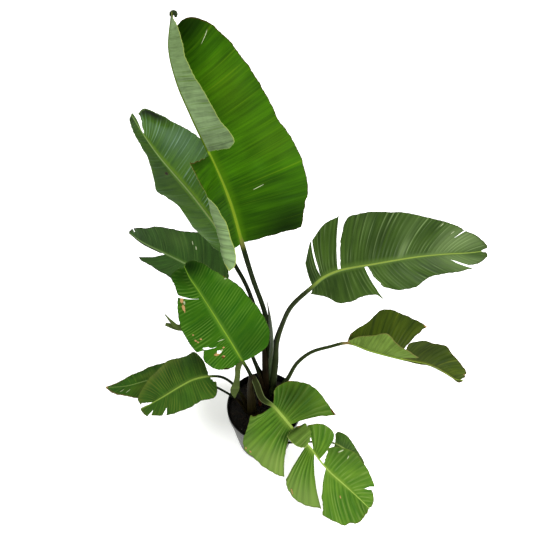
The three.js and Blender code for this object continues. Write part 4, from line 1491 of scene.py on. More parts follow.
@dataclass(frozen=True)
class Pot:
    """A tapered black nursery pot with a thicker band under its rim."""

    HEIGHT = 232.0
    RIM = 127.0
    FOOT = 96.0
    BAND = 22.0
    STEP = 3.5
    WALL = 2.6
    SIDES = 160
    LINES = 5  # faint raised lines round its wall
    LINE_HIGH = 0.45
    LINE_WIDE = 1.1
    WALL_POINTS, INNER_POINTS = 96, 24  # of the profile, up the wall and down it
    UNDER = ((0.0, 1.2), (78.0, 1.2), (80.0, 0.0))  # (radius, height) of the hollow under its floor
    FOOT_LINE = ((3.0, 0.0), (0.9, 0.9), (0.0, 3.0))  # (mm within the foot, mm up)
    BAND_LINE = ((2.0, -1.6), (0.7, -0.6), (0.4, 1.0), (0.5, 8.0))  # (mm within the rim, mm above its foot)
    RIM_LINE = (  # (mm within the rim, mm below its top)
        (0.3, 5.0), (0.0, 3.4), (0.0, 1.4), (0.5, 0.4), (1.5, 0.0), (2.6, 0.4), (3.2, 1.4), (3.6, 4.0),
    )
    WELD = 0.00001  # metres
    SHARPEST = 50.0  # degrees that a face may turn before its edge shows
    GLOSS = 0.16

    def _profile(self) -> list[tuple[float, float]]:
        """The line that is turned round the pot's axis.

        Returns:
            (radius, height) from under its floor, up the outside and down to the floor inside.
        """
        band = self.HEIGHT - self.BAND
        line = [*self.UNDER, *((self.FOOT - inset, up) for inset, up in self.FOOT_LINE)]
        raised = [band * (number + 1) / (self.LINES + 1) for number in range(self.LINES)]
        for z in np.linspace(6.0, band - 6.0, self.WALL_POINTS).tolist():
            bulge = sum(math.exp(-(((z - at) / self.LINE_WIDE) ** 2)) for at in raised)
            line.append((wall_radius(z) + self.LINE_HIGH * bulge, z))
        line.append((wall_radius(band - 3) + 0.2, band - 3))
        line += [(self.RIM - inset, band + up) for inset, up in self.BAND_LINE]
        line += [(self.RIM - inset, self.HEIGHT - down) for inset, down in self.RIM_LINE]
        line.append((self.RIM - self.STEP - self.WALL, band))
        inner = np.linspace(band - 6, self.WALL + 4, self.INNER_POINTS).tolist()
        line += [(wall_radius(z, self.WALL), z) for z in inner]
        floor = wall_radius(self.WALL, self.WALL)
        return line + [(floor - 1.0, self.WALL + 0.8), (floor - 3.0, self.WALL), (0.0, self.WALL)]

    def build(self) -> Object:
        """Turns the profile round the axis and dresses the pot."""
        mesh = bpy.data.meshes.new("pot_profile")
        corners = [((r - self.RIM) * METRES, -z * METRES, 0.0) for r, z in self._profile()]
        mesh.from_pydata(corners, [(i, i + 1) for i in range(len(corners) - 1)], [])
        tree = Tree("turned_pot")
        sides, radius = tree.size("Sides", self.SIDES), tree.size("Radius", self.RIM * METRES)
        weld = tree.size("Weld", self.WELD)
        line = tree.node("GeometryNodeMeshToCurve", {0: tree.start})
        path = tree.node("GeometryNodeCurvePrimitiveCircle", {"Resolution": sides, "Radius": radius})
        turned = tree.node("GeometryNodeCurveToMesh", {0: path, 1: line})
        whole = tree.node("GeometryNodeMergeByDistance", {0: turned, "Distance": weld})
        out = tree.node("GeometryNodeFlipFaces", {0: whole})
        made = tree.apply(placed("pot_skin", mesh), tree.dressed(out, self._finish()))
        made.data.set_sharp_from_angle(angle=math.radians(self.SHARPEST))
        return settled(made, "pot")

    def _finish(self) -> Material:
        """Black satin plastic with soft scuffs, fine scratches and a little dust low down."""
        shader = Shader("black_plastic")
        x, y, z = shader.split(shader.place)
        scuff = shader.noise(31.0, 4.0)
        grain = shader.noise(900.0)
        round_lines = shader.noise(1.0, 3.0, shader.vector(x * 6.0, y * 6.0, z * 700.0))
        dust = scuff.between(0.5, 0.75) * 0.35 + z.between(0.05, 0.0) * 0.25
        shader.colour = shader.mix(dust, "070808", "23211d")
        shader.coat(round_lines.between(0.64, 0.72) * 0.1, "3c3b37")
        rough = (scuff - 0.5) * 0.35 + 0.36 + (grain - 0.5) * 0.1
        bump = (grain * 0.5 + round_lines * 0.5, 0.0003, 0.35)
        return shader.finish(rough, self.GLOSS, bump)


@dataclass(frozen=True)
class Grit:
    """One kind of bit scattered over the soil."""

    name: str  # what it is
    density: float  # how many there are on a square metre
    small: Row  # its smallest half sizes, in metres
    large: Row  # its largest half sizes, in metres
    rough: float  # how far its faces are pushed in and out, as a share of its size
    dark: str  # its darker colour
    light: str  # its lighter colour
    seed: int  # picks the places

    SPREAD = 1.35  # how far a bit reaches, in half sizes, once its faces are pushed out
    RING = 0.0022  # the width of one ring of the soil's faces, over which the grit thins out
    ROUND = 2  # how many times a bit's faces are divided
    DENTS = 1.4  # turns of its unevenness in its half size
    GLOSS = 0.2

    def scatter(self, tree: Tree, top: Node, out: NodeSocket, room: float) -> Node:
        """Adds the nodes that scatter it, clear of the pot's wall by its own length.

        Args:
            tree: the tree they go into, on whose mesh it lies.
            top: where on the mesh it lies.
            out: how far a place is from the pot's middle line.
            room: how far that is at the inside of the wall, in metres.

        Returns:
            The node with the geometry of all its bits.
        """
        seed = tree.size(self.name + " seed", self.seed)
        density = tree.size(self.name + " density", self.density)
        reach = tree.size(self.name + " reach", room - self.SPREAD * max(self.large) - self.RING)
        near = tree.node("FunctionNodeCompare", {0: out, 1: reach}, {"operation": "LESS_THAN"})
        clear = tree.node("FunctionNodeBooleanMath", {0: top, 1: near}, {"operation": "AND"})
        values = {"Mesh": tree.start, "Selection": clear, "Density": density, "Seed": seed}
        spread = tree.node("GeometryNodeDistributePointsOnFaces", values, {"distribute_method": "RANDOM"})
        ball = tree.node("GeometryNodeMeshIcoSphere", {"Radius": 1.0, "Subdivisions": self.ROUND})
        noise = tree.node("ShaderNodeTexNoise", {"Scale": self.DENTS, "Detail": 2.0}).outputs["Color"]
        pushed = tree.node("ShaderNodeVectorMath", {0: noise, 1: (0.5,) * 3}, {"operation": "SUBTRACT"})
        offset = tree.node("ShaderNodeVectorMath", {0: pushed, "Scale": self.rough}, {"operation": "SCALE"})
        bit = tree.node("GeometryNodeSetPosition", {0: ball, "Offset": offset})
        three = {"data_type": "FLOAT_VECTOR"}
        turn, size = (
            tree.node("FunctionNodeRandomValue", {0: low, 1: high, "Seed": seed}, three)
            for low, high in (((0.0,) * 3, (FULL_TURN,) * 3), (self.small, self.large))
        )
        put = {0: spread, "Instance": bit, "Rotation": turn, "Scale": size}
        return tree.dressed(tree.node("GeometryNodeInstanceOnPoints", put), self._finish())

    def _finish(self) -> Material:
        """Mottled between its two colours."""
        shader = Shader(self.name)
        mottle = shader.noise(130.0, 4.0)
        grain = shader.noise(900.0)
        shader.colour = shader.mix(mottle.between(0.35, 0.65), self.dark, self.light)
        bump = (grain, 0.0006, 0.6)
        return shader.finish((grain - 0.5) * 0.2 + 0.85, self.GLOSS, bump)


@dataclass(frozen=True)
class Soil:
    """The potting mix: one uneven body, and the bits that lie on it."""

    grits: tuple[Grit, ...]

    TOP = 205.0
    CROWN = 5.0  # how much higher its middle is
    RADIUS = 118.0  # over which it falls off
    HIGHEST = 218.0
    GAP = 0.8  # between it and the pot
    BELLY = 120.0  # the height of a ring between its foot and its edge
    BELOW_TOP = 4.0  # the height below TOP at which its edge meets the wall
    EDGE, SUNK = 0.93, 3.5  # the share of its radius from which it sinks, and by how much
    CLODS = ((13.0, 2.4), (4.5, 1.2))  # (mm between its clods, mm high)
    RINGS = 56
    INNERMOST = 0.02  # the last ring's share of its radius
    SIDES = 150
    LEVEL = 0.6  # the least upward share of a face's normal on which bits lie
    LOWEST = 0.19  # metres: bits lie above this height
    BITS_BELOW_TOP = 8.0  # the height below TOP at which their room is measured
    GLOSS = 0.2

    def build(self) -> list[Object]:
        """Makes and dresses the soil.

        Returns:
            The body and the scattered bits.
        """
        body = self._body()
        tree = Tree("scattered_grit")
        up = tree.node("ShaderNodeSeparateXYZ", {0: tree.node("GeometryNodeInputNormal")}).outputs[2]
        place = tree.node("ShaderNodeSeparateXYZ", {0: tree.node("GeometryNodeInputPosition")}).outputs
        steepest, lowest = tree.size("Steepest", self.LEVEL), tree.size("Lowest", self.LOWEST)
        level, high = (
            tree.node("FunctionNodeCompare", {0: value, 1: least}, {"operation": "GREATER_THAN"})
            for value, least in ((up, steepest), (place[2], lowest))
        )
        top = tree.node("FunctionNodeBooleanMath", {0: level, 1: high}, {"operation": "AND"})
        flat = tree.node("ShaderNodeCombineXYZ", {0: place[0], 1: place[1]})
        out = tree.node("ShaderNodeVectorMath", {0: flat}, {"operation": "LENGTH"}).outputs["Value"]
        room = wall_radius(self.TOP - self.BITS_BELOW_TOP, Pot.WALL) / 1000
        kinds = [grit.scatter(tree, top, out, room) for grit in self.grits]
        together = tree.node("GeometryNodeJoinGeometry")
        for kind in kinds:
            tree.tree.links.new(kind.outputs[0], together.inputs[0])
        bits = tree.apply(placed("soil_grit", body.data.copy()), together)
        return [settled(body, "soil"), settled(bits, "soil")]

    def _height(self, x: Array, y: Array) -> Array:
        """How high the surface is: a little higher in the middle and uneven all over.

        Args:
            x: first coordinates.
            y: second coordinates.

        Returns:
            One height for each place.
        """
        r = np.hypot(x, y) / self.RADIUS
        uneven = 1.6 * np.sin(x / 17 + 0.6) * np.cos(y / 21) + 1.1 * np.sin((x - y) / 9)
        return self.TOP + self.CROWN * (1 - r * r) + uneven

    def _body(self) -> Object:
        """Makes the body of the soil, down to the pot's floor."""
        foot = Pot.WALL + self.GAP
        turn = FULL_TURN * np.arange(self.SIDES) / self.SIDES
        x, y = np.cos(turn), np.sin(turn)
        rings: list[Array] = []
        for z in (foot, self.BELLY):
            radius = wall_radius(z, Pot.WALL) - self.GAP
            rings.append(np.stack([radius * x, radius * y, np.full(self.SIDES, z)], axis=1))
        edge = wall_radius(self.TOP - self.BELOW_TOP, Pot.WALL) - self.GAP
        for share in np.linspace(1.0, self.INNERMOST, self.RINGS):
            u, v = edge * share * x, edge * share * y
            z = self._height(u, v) - self.SUNK * smooth((share - self.EDGE) / (1 - self.EDGE))
            for seed, (length, high) in enumerate(self.CLODS, 3):
                z = z + high * lumps(u, v, length, seed)
            rings.append(np.stack([u, v, np.minimum(z, self.HIGHEST)], axis=1))
        points, faces = tube(np.array(rings))
        return Surface(points, faces).piece("soil_skin", [self._finish()])

    def _finish(self) -> Material:
        """Damp, nearly black mix with browner fibres and fine pale specks."""
        shader = Shader("potting_mix")
        clod = shader.noise(90.0, 5.0)
        grain = shader.noise(700.0, 3.0)
        cells = {"Vector": shader.place, "Scale": 330.0}
        speck = shader.number("ShaderNodeTexVoronoi", cells, out="Distance").between(0.12, 0.06)
        shader.colour = shader.mix(clod.between(0.35, 0.7), "0b0904", "1c160c")
        shader.coat((grain + (clod - 0.5)).between(0.6, 0.8) * 0.4, "36291a")
        shader.coat(speck * 0.25, "7d786a")
        bump = (clod * 0.5 + grain * 0.5, 0.0025, 0.8)
        return shader.finish((grain - 0.5) * 0.15 + 0.9, self.GLOSS, bump)


# ------ the room


@dataclass(frozen=True)
class Studio:
    """A white floor that glows as painted light except in a painted shadow beside the pot, daylight from
    all round, and one large soft lamp in front on the right.
    """

    eye: Row = (0.007, -0.870, 1.870)  # where the camera is, in metres
    pitch: float = 47.4  # how far it looks down from level, in degrees
    focal: float = 35.797  # its focal length in mm, on a film 36 mm wide
    sky: float = 1.25  # how bright the daylight is
    lamp: float = 150.0  # how strong the lamp is, in watts
    lamp_at: Row = (2.3, -1.5, 3.2)  # where the lamp is
    lamp_size: float = 1.4  # how wide the lamp is
    glow: float = 0.45  # how strongly the floor glows, as painted light, except in a painted shadow beside the pot, where the lamp's real shadow of the pot also falls

    FLOOR = 40.0
    BELOW = 0.0005  # metres that the floor lies below the pot
    FILM = 36.0
    SHADOW = (-0.15, 0.13)  # the middle of the painted shadow beside the pot, where the floor does not glow
    LAMP_AIM = 0.5  # the height the lamp looks at
    BLACK, WHITE = (0.0, 0.0, 0.0, 1.0), (1.0, 1.0, 1.0, 1.0)

    def build(self) -> None:
        """Sets up the floor, the light and the camera."""
        self._floor()
        self._daylight()
        self._lamp()
        self._camera()
        bpy.context.scene.view_settings.view_transform = "Standard"
        bpy.context.scene.view_settings.look = "None"

    def _floor(self) -> None:
        """A level white floor just below the pot, glowing as painted light except in a soft painted shadow
        beside the pot.
        """
        half = self.FLOOR / 2
        square = ((-half, -half), (half, -half), (half, half), (-half, half))
        corners = [(x, y, -self.BELOW) for x, y in square]
        mesh = bpy.data.meshes.new("floor")
        mesh.from_pydata(corners, [], [(0, 1, 2, 3)])
        shader = Shader("white_floor")
        cloud = shader.noise(3.0)
        shader.colour = shader.mix(cloud, paint("f4f4f1", 1 / SEEN), paint("f7f7f5", 1 / SEEN))
        x, y, _ = shader.split(shader.place)
        across, back = self.SHADOW
        far = ((x - across) ** 2.0 + (y - back) ** 2.0) ** 0.5
        # Painted light: the floor glows everywhere but in a soft painted shadow beside the pot.
        lit = shader.mix(far.between(0.05, 0.2), self.BLACK, self.WHITE)
        mesh.materials.append(shader.finish(0.9, 0.0, Emission_Color=lit, Emission_Strength=self.glow))
        placed("floor", mesh)

    def _daylight(self) -> None:
        """Even white light from the whole sky."""
        world = bpy.data.worlds.new("daylight")
        world.use_nodes = True
        background = world.node_tree.nodes["Background"]
        background.inputs["Color"].default_value = self.WHITE
        background.inputs["Strength"].default_value = self.sky
        bpy.context.scene.world = world

    def _lamp(self) -> None:
        """One large soft lamp that looks at the plant."""
        light = bpy.data.lights.new("soft_lamp", "AREA")
        light.shape = "DISK"
        light.size = self.lamp_size
        light.energy = self.lamp
        made = placed("soft_lamp", light)
        made.location = self.lamp_at
        x, y, z = self.lamp_at
        made.rotation_euler = (math.atan2(math.hypot(x, y), z - self.LAMP_AIM), 0.0, math.atan2(x, -y))

    def _camera(self) -> None:
        """The camera, where the plant was looked at from."""
        lens = bpy.data.cameras.new("camera")
        lens.sensor_width = self.FILM
        lens.lens = self.focal
        made = placed("camera", lens)
        made.location = self.eye
        made.rotation_euler = (math.radians(90.0 - self.pitch), 0.0, 0.0)
        bpy.context.scene.camera = made


# ------ the sizes of this plant


TAN, BROWN, DARK, PALE = Kind

LEAF_A = Leaf(
    "leaf_a",
    stem=Stem(
        path=((12, 52, 165), (13, 54, 400), (14, 60, 570), (2, 70, 650), (-30, 77, 790), (-55, 75, 930),
            (-82, 124, 1022), (-107, 156, 1080), (-130, 179, 1130), (-167, 216, 1205), (-196, 247, 1275),
            (-207, 268, 1335), (-196, 298, 1404)),
        face=((0, 1, -1, 0.3), (4, 1, -1, 0.3), (5, 0.15, -0.85, 0.5)),
        girth=((0, 14, 14), (1, 13, 12), (2, 8.5, 8), (3, 7.5, 7), (5, 6.5, 6), (8, 4.2, 4.2),
            (12, 1.5, 1.4)),
        blade=5,
    ),
    right=(
        Segment((8, -15, 0), ((0, 155, -5), (55, 180, 5), (95, 195, -10), (120, 200, 0), (190, 192, 17),
            (228, 182, 12), (265, 180, 20, 10), (310, 173, 32, 10), (355, 162, 36, 12),
            (425, 125, 59, 15, -10), (460, 92, 64, 15, 0), (495, 45, 52, 15, 0), (505, 33, 40, 15, 0),
            (514, 23, 24, 15, 0), (522, 18, 5, 15, 0), (532, 10, -3, 15, 0), (552, 2, 0, 15, 0))),
    ),
    left=(
        Segment((40, 0, 0), ((0, 96, -33, 20, 0, 82), (8, 102, -38, 20, 0, 116),
            (18, 104, -36, 20, 0, 144), (35, 97, -35, 20, 0, 151), (55, 95, -32, 20, 0, 141),
            (75, 94, -30, 20, 0, 139), (110, 98, -32, 20, 0, 133), (130, 95, -29, 25, 0, 110),
            (145, 93, -26, 30, 0, 91), (160, 91, -21, 35, 0, 68), (180, 74, -20, 40, 0, 32),
            (210, 63, -15), (230, 66, 7)), crease=(0.63, 0.35)),
        Segment((100, 15, 0), ((240, 142, 3), (246, 177, 4), (254, 187, 5), (270, 182, 0), (300, 169, -6),
            (352, 138, -10, 103, 12), (405, 107, -3, 106, 10), (455, 86, 7, 108, 10),
            (495, 61, 9, 110, 10), (522, 42, 11, 110, 0), (552, 2, 0, 90, 0))),
    ),
    blade=BladeFinish(
        "3e7104", "204603", "89a56f", "4b7609", "5b800e", "4a3a18", "a3b455", gloss=0.02, lines=0.65,
        even=0.35,
    ),
    stalk=StemFinish("1c1508", "1a260d", "76901f", "446c10", crest=0.8, joint=0.3),
    relief=Relief(9.0, 0.8, 2.6, 46.0, 1),
    shreds=(
        Stem(
            path=((-198, 293, 1397), (-196, 298, 1402), (-189, 298, 1402), (-187, 291, 1396)),
            face=((0, 0.16, -0.92, 0.37),),
            girth=((0, 3, 0.8), (1, 5, 1), (2, 5.5, 1), (3, 2.5, 0.8)),
        ),
    ),
    shred_tone=-0.9,
    marks=(Mark(1, 119, 0.39, 0.08, 0.7, PALE, 1.5), Mark(1, 443, 0.78, 0.13, 0.7, PALE, 5)),
    # Patches of painted light and shade.
    painted_lights=(PaintedLight(1, 495, 0.8, 0.6, 48, -0.85), PaintedLight(1, 12, 0.75, 0.7, 64, -0.9),
        PaintedLight(-1, 60, 0.3, 0.5, 130, -0.4), PaintedLight(-1, 470, 0.5, 0.9, 90, 0.25),
        PaintedLight(-1, 262, 0.5, 0.8, 40, -0.2), PaintedLight(1, 330, 0.6, 0.3, 70, 0.25),
        PaintedLight(-1, 228, 0.6, 0.8, 14, -0.5), PaintedLight(-1, 548, 0.5, 1.5, 14, -1.0),
        PaintedLight(1, 180, 0.8, 0.3, 60, 0.2), PaintedLight(1, 120, 0.5, 0.5, 30, -0.25)),
)
LEAF_B = Leaf(
    "leaf_b",
    stem=Stem(
        path=((9, 52, 165), (8, 53, 380), (0, 57, 520), (-21, 77, 630), (-50, 94, 745), (-94, 118, 845),
            (-126, 160, 900), (-160, 188, 940), (-200, 225, 975), (-240, 260, 1005), (-284, 300, 1040),
            (-317, 340, 1065), (-363, 416, 1085)),
        face=((0, 1, -0.6, 0.3), (4, 1, -0.6, 0.3), (5, 0, -0.62, 0.78)),
        girth=((0, 21, 19), (1, 18, 15), (2, 11, 9), (3, 7, 6.5), (5, 5.5, 5), (8, 4, 4), (12, 1.5, 1.4)),
        blade=5,
    ),
    right=(
        Segment((8, -25, 0), ((0, 45, 22, 15), (55, 78, 50, 15), (135, 108, 45, 12), (195, 116, 45, 10),
            (245, 120, 37), (285, 109, 37), (325, 87, 50), (363, 65, 61), (383, 38, 80, 8, -20),
            (394, 21, 66, 8, -10))),
        Segment((5, 0, 0), ((405, 7, 42), (440, 6, 34), (479, 4, 4))),
    ),
    left=(
        Segment((-35, -15, 0), ((0, 40, 27), (42, 66, 25), (88, 71, 27), (127, 62, 43), (171, 75, 57),
            (221, 84, 50), (251, 70, 38), (297, 39, 30, -30), (352, 26, 26, -25, -10),
            (406, 22, 14, -20, 0), (479, 12, -12, 0, 0))),
    ),
    blade=BladeFinish(
        "5d8c1c", "305c0f", "7d9a68", "83ab27", "a6ceae", "5f7a3a", "8fa870", gloss=0.12, rough=0.45,
        lines=0.8, even=0.62,
    ),
    stalk=StemFinish("1c1508", "1a240f", "9cb468", "4a7a38", crest=0.84),
    relief=Relief(9.0, 0.9, 2.6, 40.0, 2, clear=(1.0, 0.25)),
    marks=(Mark(-1, 268, 0.27, 0.09, 4, DARK),),
    # Patches of painted light and shade.
    painted_lights=(PaintedLight(-1, 250, 0.5, 1.2, 260, -0.55), PaintedLight(1, 300, 0.7, 0.4, 90, 0.25),
        PaintedLight(1, 370, 0.93, 0.16, 34, -1.1), PaintedLight(1, 60, 0.5, 0.8, 60, -0.25),
        PaintedLight(1, 470, 0.5, 1.0, 30, -0.4), PaintedLight(-1, 470, 0.5, 1.0, 30, -0.4)),
)
LEAF_C = Leaf(
    "leaf_c",
    stem=Stem(
        path=((2, 52, 165), (-2, 52, 290), (-21, 52, 375), (-39, 63, 440), (-76, 134, 530),
            (-113, 202, 610), (-182, 234, 630), (-258, 278, 640), (-328, 324, 638), (-405, 386, 622),
            (-469, 458, 600)),
        face=((0, 1, -0.3, 0.5), (2, 1, -0.3, 0.5), (4, 0.5, -0.4, 0.8), (5, -0.15, -0.35, 0.92)),
        girth=((0, 29, 24), (1, 22, 13), (2, 9, 7.5), (3, 6, 5.5), (5, 5, 4.5), (10, 1.4, 1.3)),
        blade=5,
    ),
    right=(
        Segment((8, -20, 0), ((0, 80, 99), (47, 127, 73), (103, 109, 80), (140, 93, 90), (187, 83, 91),
            (238, 72, 91), (287, 54, 81, 8, -15), (339, 37, 72, 8, -10), (397, 19, 49, 5, 0),
            (449, 3, 5, 0, 0))),
    ),
    left=(
        Segment((-10, -25, 0), ((0, 78, 24), (65, 71, 40), (121, 64, 41), (163, 62, 46),
            (187, 57, 75, -10, -20), (212, 56, 92, -10, -20), (238, 49, 95, -10, -10))),
        Segment((0, 0, 0), ((247, 6, 13), (313, 6, 20), (448, 3, 0))),
    ),
    blade=BladeFinish(
        "3e6623", "294416", "5d7350", "5e842b", "719343", "2c2414", "6f8450", gloss=0.08, even=0.6,
    ),
    stalk=StemFinish("1c1508", "16200c", "7c985a", "3a6426", crest=0.72),
    relief=Relief(12.0, 0.9, 3.0, 38.0, 3, clear=(0.8, 0.5)),
    marks=(Mark(1, 122, 0.7, 0.05, 1.6, PALE), Mark(1, 114, 0.58, 0.05, 1.8, PALE)),
    holes=(Hole(1, 394, 0.9, 4, 7),),
    # Patches of painted light and shade.
    painted_lights=(PaintedLight(1, 60, 0.5, 0.9, 60, -0.3), PaintedLight(1, 170, 0.7, 0.3, 60, 0.2)),
)
LEAF_D = Leaf(
    "leaf_d",
    stem=Stem(
        path=((-46, -8, 165), (-44, -10, 300), (-38, -17, 434), (-48, -16, 476), (-64, -15, 528),
            (-86, 8, 562), (-123, 42, 620), (-155, 70, 672), (-187, 101, 715), (-214, 127, 750),
            (-225, 142, 772)),
        face=((0, 0.9, -0.6, 0.4), (3, 0.9, -0.6, 0.4), (4, 0.02, -0.76, 0.64)),
        girth=((0, 12, 11), (1, 11, 10), (2, 7, 6), (3, 5.5, 5), (4, 5.2, 4.8), (7, 3.4, 3.4),
            (10, 1.4, 1.3)),
        blade=4,
    ),
    right=(
        Segment((34, -30, 0), ((0, 71, 14), (18, 101, 0), (39, 120, 2), (71, 131, 3), (108, 134, 7),
            (162, 127, 7), (212, 115, 1), (253, 95, -4), (280, 76, 1), (301, 57, 18),
            (317, 29, 23, 24, -20), (329, 6, 10, 12, 0))),
    ),
    left=(
        Segment((5, -30, 0), ((0, 50, -11), (15, 83, -9), (36, 99, -2), (56, 101, 5), (68, 86, 15))),
        Segment((5, -30, 0), ((75, 109, 11), (97, 116, 22), (133, 112, 19), (169, 104, 20), (201, 86, 30),
            (222, 66, 42)), join=0.4),
        Segment((0, 0, 0), ((226, 62, 44, 5, -30), (259, 50, 45, 5, -25), (286, 42, 43, 5, -20),
            (307, 22, 24, 5, -10), (327, 10, 4)), join=0.2),
    ),
    blade=BladeFinish(
        "427212", "265b0c", "5c6c34", "608c2d", "668f37", "2c4414", gloss=0.02, rough=0.52, lines=0.55,
        even=1.0,
    ),
    stalk=StemFinish("211b09", "1c280c", "769a2c", "487a18", crest=0.78),
    relief=Relief(9.0, 1.4, 3.4, 36.0, 4, clear=(0.75, 1.2), sweep=(0.5, -0.35)),
    shreds=(
        Stem(
            path=((-68, -16, 530), (-78, -24, 503), (-80, -30, 474), (-85, -34, 434), (-92, -36, 395),
                (-94, -36, 346)),
            face=((0, -0.3, -1, 0.4), (5, 0.3, -1, 0.2)),
            girth=((0, 8, 1), (1, 9, 1), (2, 8, 1), (3, 10, 1), (4, 14, 1), (5, 2, 0.8)),
        ),
        Stem(
            path=((-242, 46, 612), (-254, 50, 608), (-270, 58, 622), (-286, 64, 650)),
            face=((0, 0, -0.8, 0.6),),
            girth=((0, 9, 0.9), (1, 8, 0.9), (2, 5, 0.8), (3, 1.5, 0.6)),
        ),
        Stem(
            path=((-242, 46, 608), (-254, 51, 603), (-272, 58, 602), (-291, 62, 606)),
            face=((0, 0, -0.8, 0.6),),
            girth=((0, 9, 0.9), (1, 9, 0.9), (2, 8, 0.8), (3, 5, 0.6)),
        ),
    ),
    shred_tone=-0.35,
    marks=(Mark(-1, 219, 0.85, 0.06, 7, TAN), Mark(-1, 205, 0.8, 0.05, 8, TAN, -3),
        Mark(-1, 214, 0.76, 0.04, 4, PALE), Mark(-1, 127, 0.77, 0.025, 2.6, TAN),
        Mark(-1, 105, 0.78, 0.03, 3.4, TAN), Mark(-1, 107, 0.63, 0.03, 3, TAN),
        Mark(-1, 99, 0.74, 0.02, 2.4, TAN), Mark(-1, 86, 0.2, 0.1, 1.2, PALE),
        Mark(-1, 53, 0.52, 0.11, 4, TAN), Mark(-1, 57, 0.4, 0.06, 2.5, PALE),
        Mark(-1, 40, 0.42, 0.05, 3, TAN), Mark(-1, 38, 0.45, 0.03, 3, BROWN),
        Mark(-1, 62, 0.3, 0.04, 2, TAN), Mark(-1, 4, 0.9, 0.09, 6, DARK),
        Mark(1, 254, 1.0, 0.03, 2.5, BROWN), Mark(1, 248, 0.95, 0.03, 2.5, PALE)),
    holes=(Hole(-1, 76, 0.66, 13, 5), Hole(-1, 56, 0.47, 6, 4.5)),
    # Patches of painted light and shade.
    painted_lights=(PaintedLight(-1, 300, 0.5, 1.0, 45, -0.75), PaintedLight(1, 318, 0.6, 0.9, 36, -0.9),
        PaintedLight(1, 40, 0.6, 0.6, 60, -0.35), PaintedLight(1, 254, 1.0, 0.25, 30, 0.5),
        PaintedLight(-1, 150, 0.4, 0.4, 60, -0.2)),
)
LEAF_E = Leaf(
    "leaf_e",
    stem=Stem(
        path=((-56, -8, 165), (-62, -5, 212), (-84, 6, 243), (-123, 26, 262), (-160, 41, 275),
            (-202, 56, 280), (-291, 85, 270), (-398, 86, 248), (-482, 79, 220), (-566, 93, 185)),
        face=((0, 0.6, 0, 0.8), (4, 0.6, 0, 0.8), (5, -0.2, -0.15, 0.95)),
        girth=((0, 26, 22), (1, 15, 8), (2, 5, 4.5), (3, 4, 3.8), (5, 3.8, 3.5), (9, 1.3, 1.2)),
        blade=5,
    ),
    right=(
        Segment((5, -20, 0), ((0, 31, 31), (74, 55, 48), (148, 58, 24), (203, 49, 23),
            (260, 36, 20, 5, -10), (322, 13, 25, 5, 0), (384, 2, 3, 0, 0))),
    ),
    left=(
        Segment((-5, -20, 0), ((0, 48, 19), (74, 75, 33), (148, 71, 49), (203, 55, 52),
            (248, 31, 54, -5, -10), (300, 20, 47, -5, 0), (384, 2, 2, 0, 0))),
    ),
    blade=BladeFinish("376513", "1f410c", "7f9a62", "53741c", "6a8425", "6f5a30", gloss=0.05),
    stalk=StemFinish("211b09", "18240c", "6f8a44", "4c7030"),
    relief=Relief(11.0, 0.9, 2.6, 34.0, 5),
    marks=(Mark(-1, 382, 0.5, 1.5, 9, TAN), Mark(1, 382, 0.5, 1.5, 9, TAN),
        Mark(-1, 258, 0.65, 0.16, 1.2, PALE), Mark(-1, 285, 0.6, 0.16, 1.2, PALE)),
    # Patches of painted light and shade.
    painted_lights=(PaintedLight(1, 200, 0.4, 0.3, 50, 0.35), PaintedLight(-1, 220, 0.4, 0.4, 50, 0.35)),
)
LEAF_F = Leaf(
    "leaf_f",
    stem=Stem(
        path=((-52, -5, 165), (-58, 1, 215), (-82, 24, 268), (-109, 45, 298), (-144, 54, 322),
            (-183, 50, 332), (-230, 43, 326), (-285, 22, 308), (-329, 2, 290), (-369, -12, 270),
            (-413, -23, 245)),
        face=((0, 0.6, -0.2, 0.8), (4, 0.6, -0.2, 0.8), (5, -0.25, -0.2, 0.93)),
        girth=((0, 20, 17), (1, 14, 9), (2, 5.5, 5), (3, 4.6, 4.4), (5, 4.2, 4), (10, 1.3, 1.2)),
        blade=5,
    ),
    right=(
        Segment((10, -30, 0), ((1, 62, 17), (20, 99, 22), (48, 99, 15), (81, 109, 3), (114, 115, 5),
            (141, 104, 23), (169, 77, 45, 10, -25), (189, 53, 57, 10, -20), (200, 36, 59, 10, -10),
            (208, 18, 48, 5, 0))),
        Segment((0, 0, 0), ((217, 3, 20), (258, 3, 2))),
    ),
    left=(
        Segment((-5, -20, 0), ((1, 23, -24), (10, 48, -32), (27, 73, -34), (51, 75, -6), (85, 77, 17),
            (114, 71, 31), (146, 59, 40))),
        Segment((-5, -20, 0), ((152, 54, 45), (189, 35, 43, -5, -15)), join=0.7),
        Segment((-5, 0, 0), ((195, 32, 48, -5, -10), (213, 18, 40), (238, 4, 22),
            (258, 2, 2, 0)), join=0.7),
    ),
    blade=BladeFinish("456b1d", "2b4e14", "6f8a50", "637c2e", "858a34", "4c5a20", lines=0.35, even=0.9),
    stalk=StemFinish("211b09", "18240c", "8aa644", "5c8a2c"),
    relief=Relief(9.0, 1.3, 3.2, 34.0, 6, clear=(1.0, 0.8)),
    # Patches of painted light and shade.
    painted_lights=(PaintedLight(1, 15, 0.6, 0.7, 28, -0.55), PaintedLight(1, 140, 1.0, 0.22, 70, 0.32)),
)
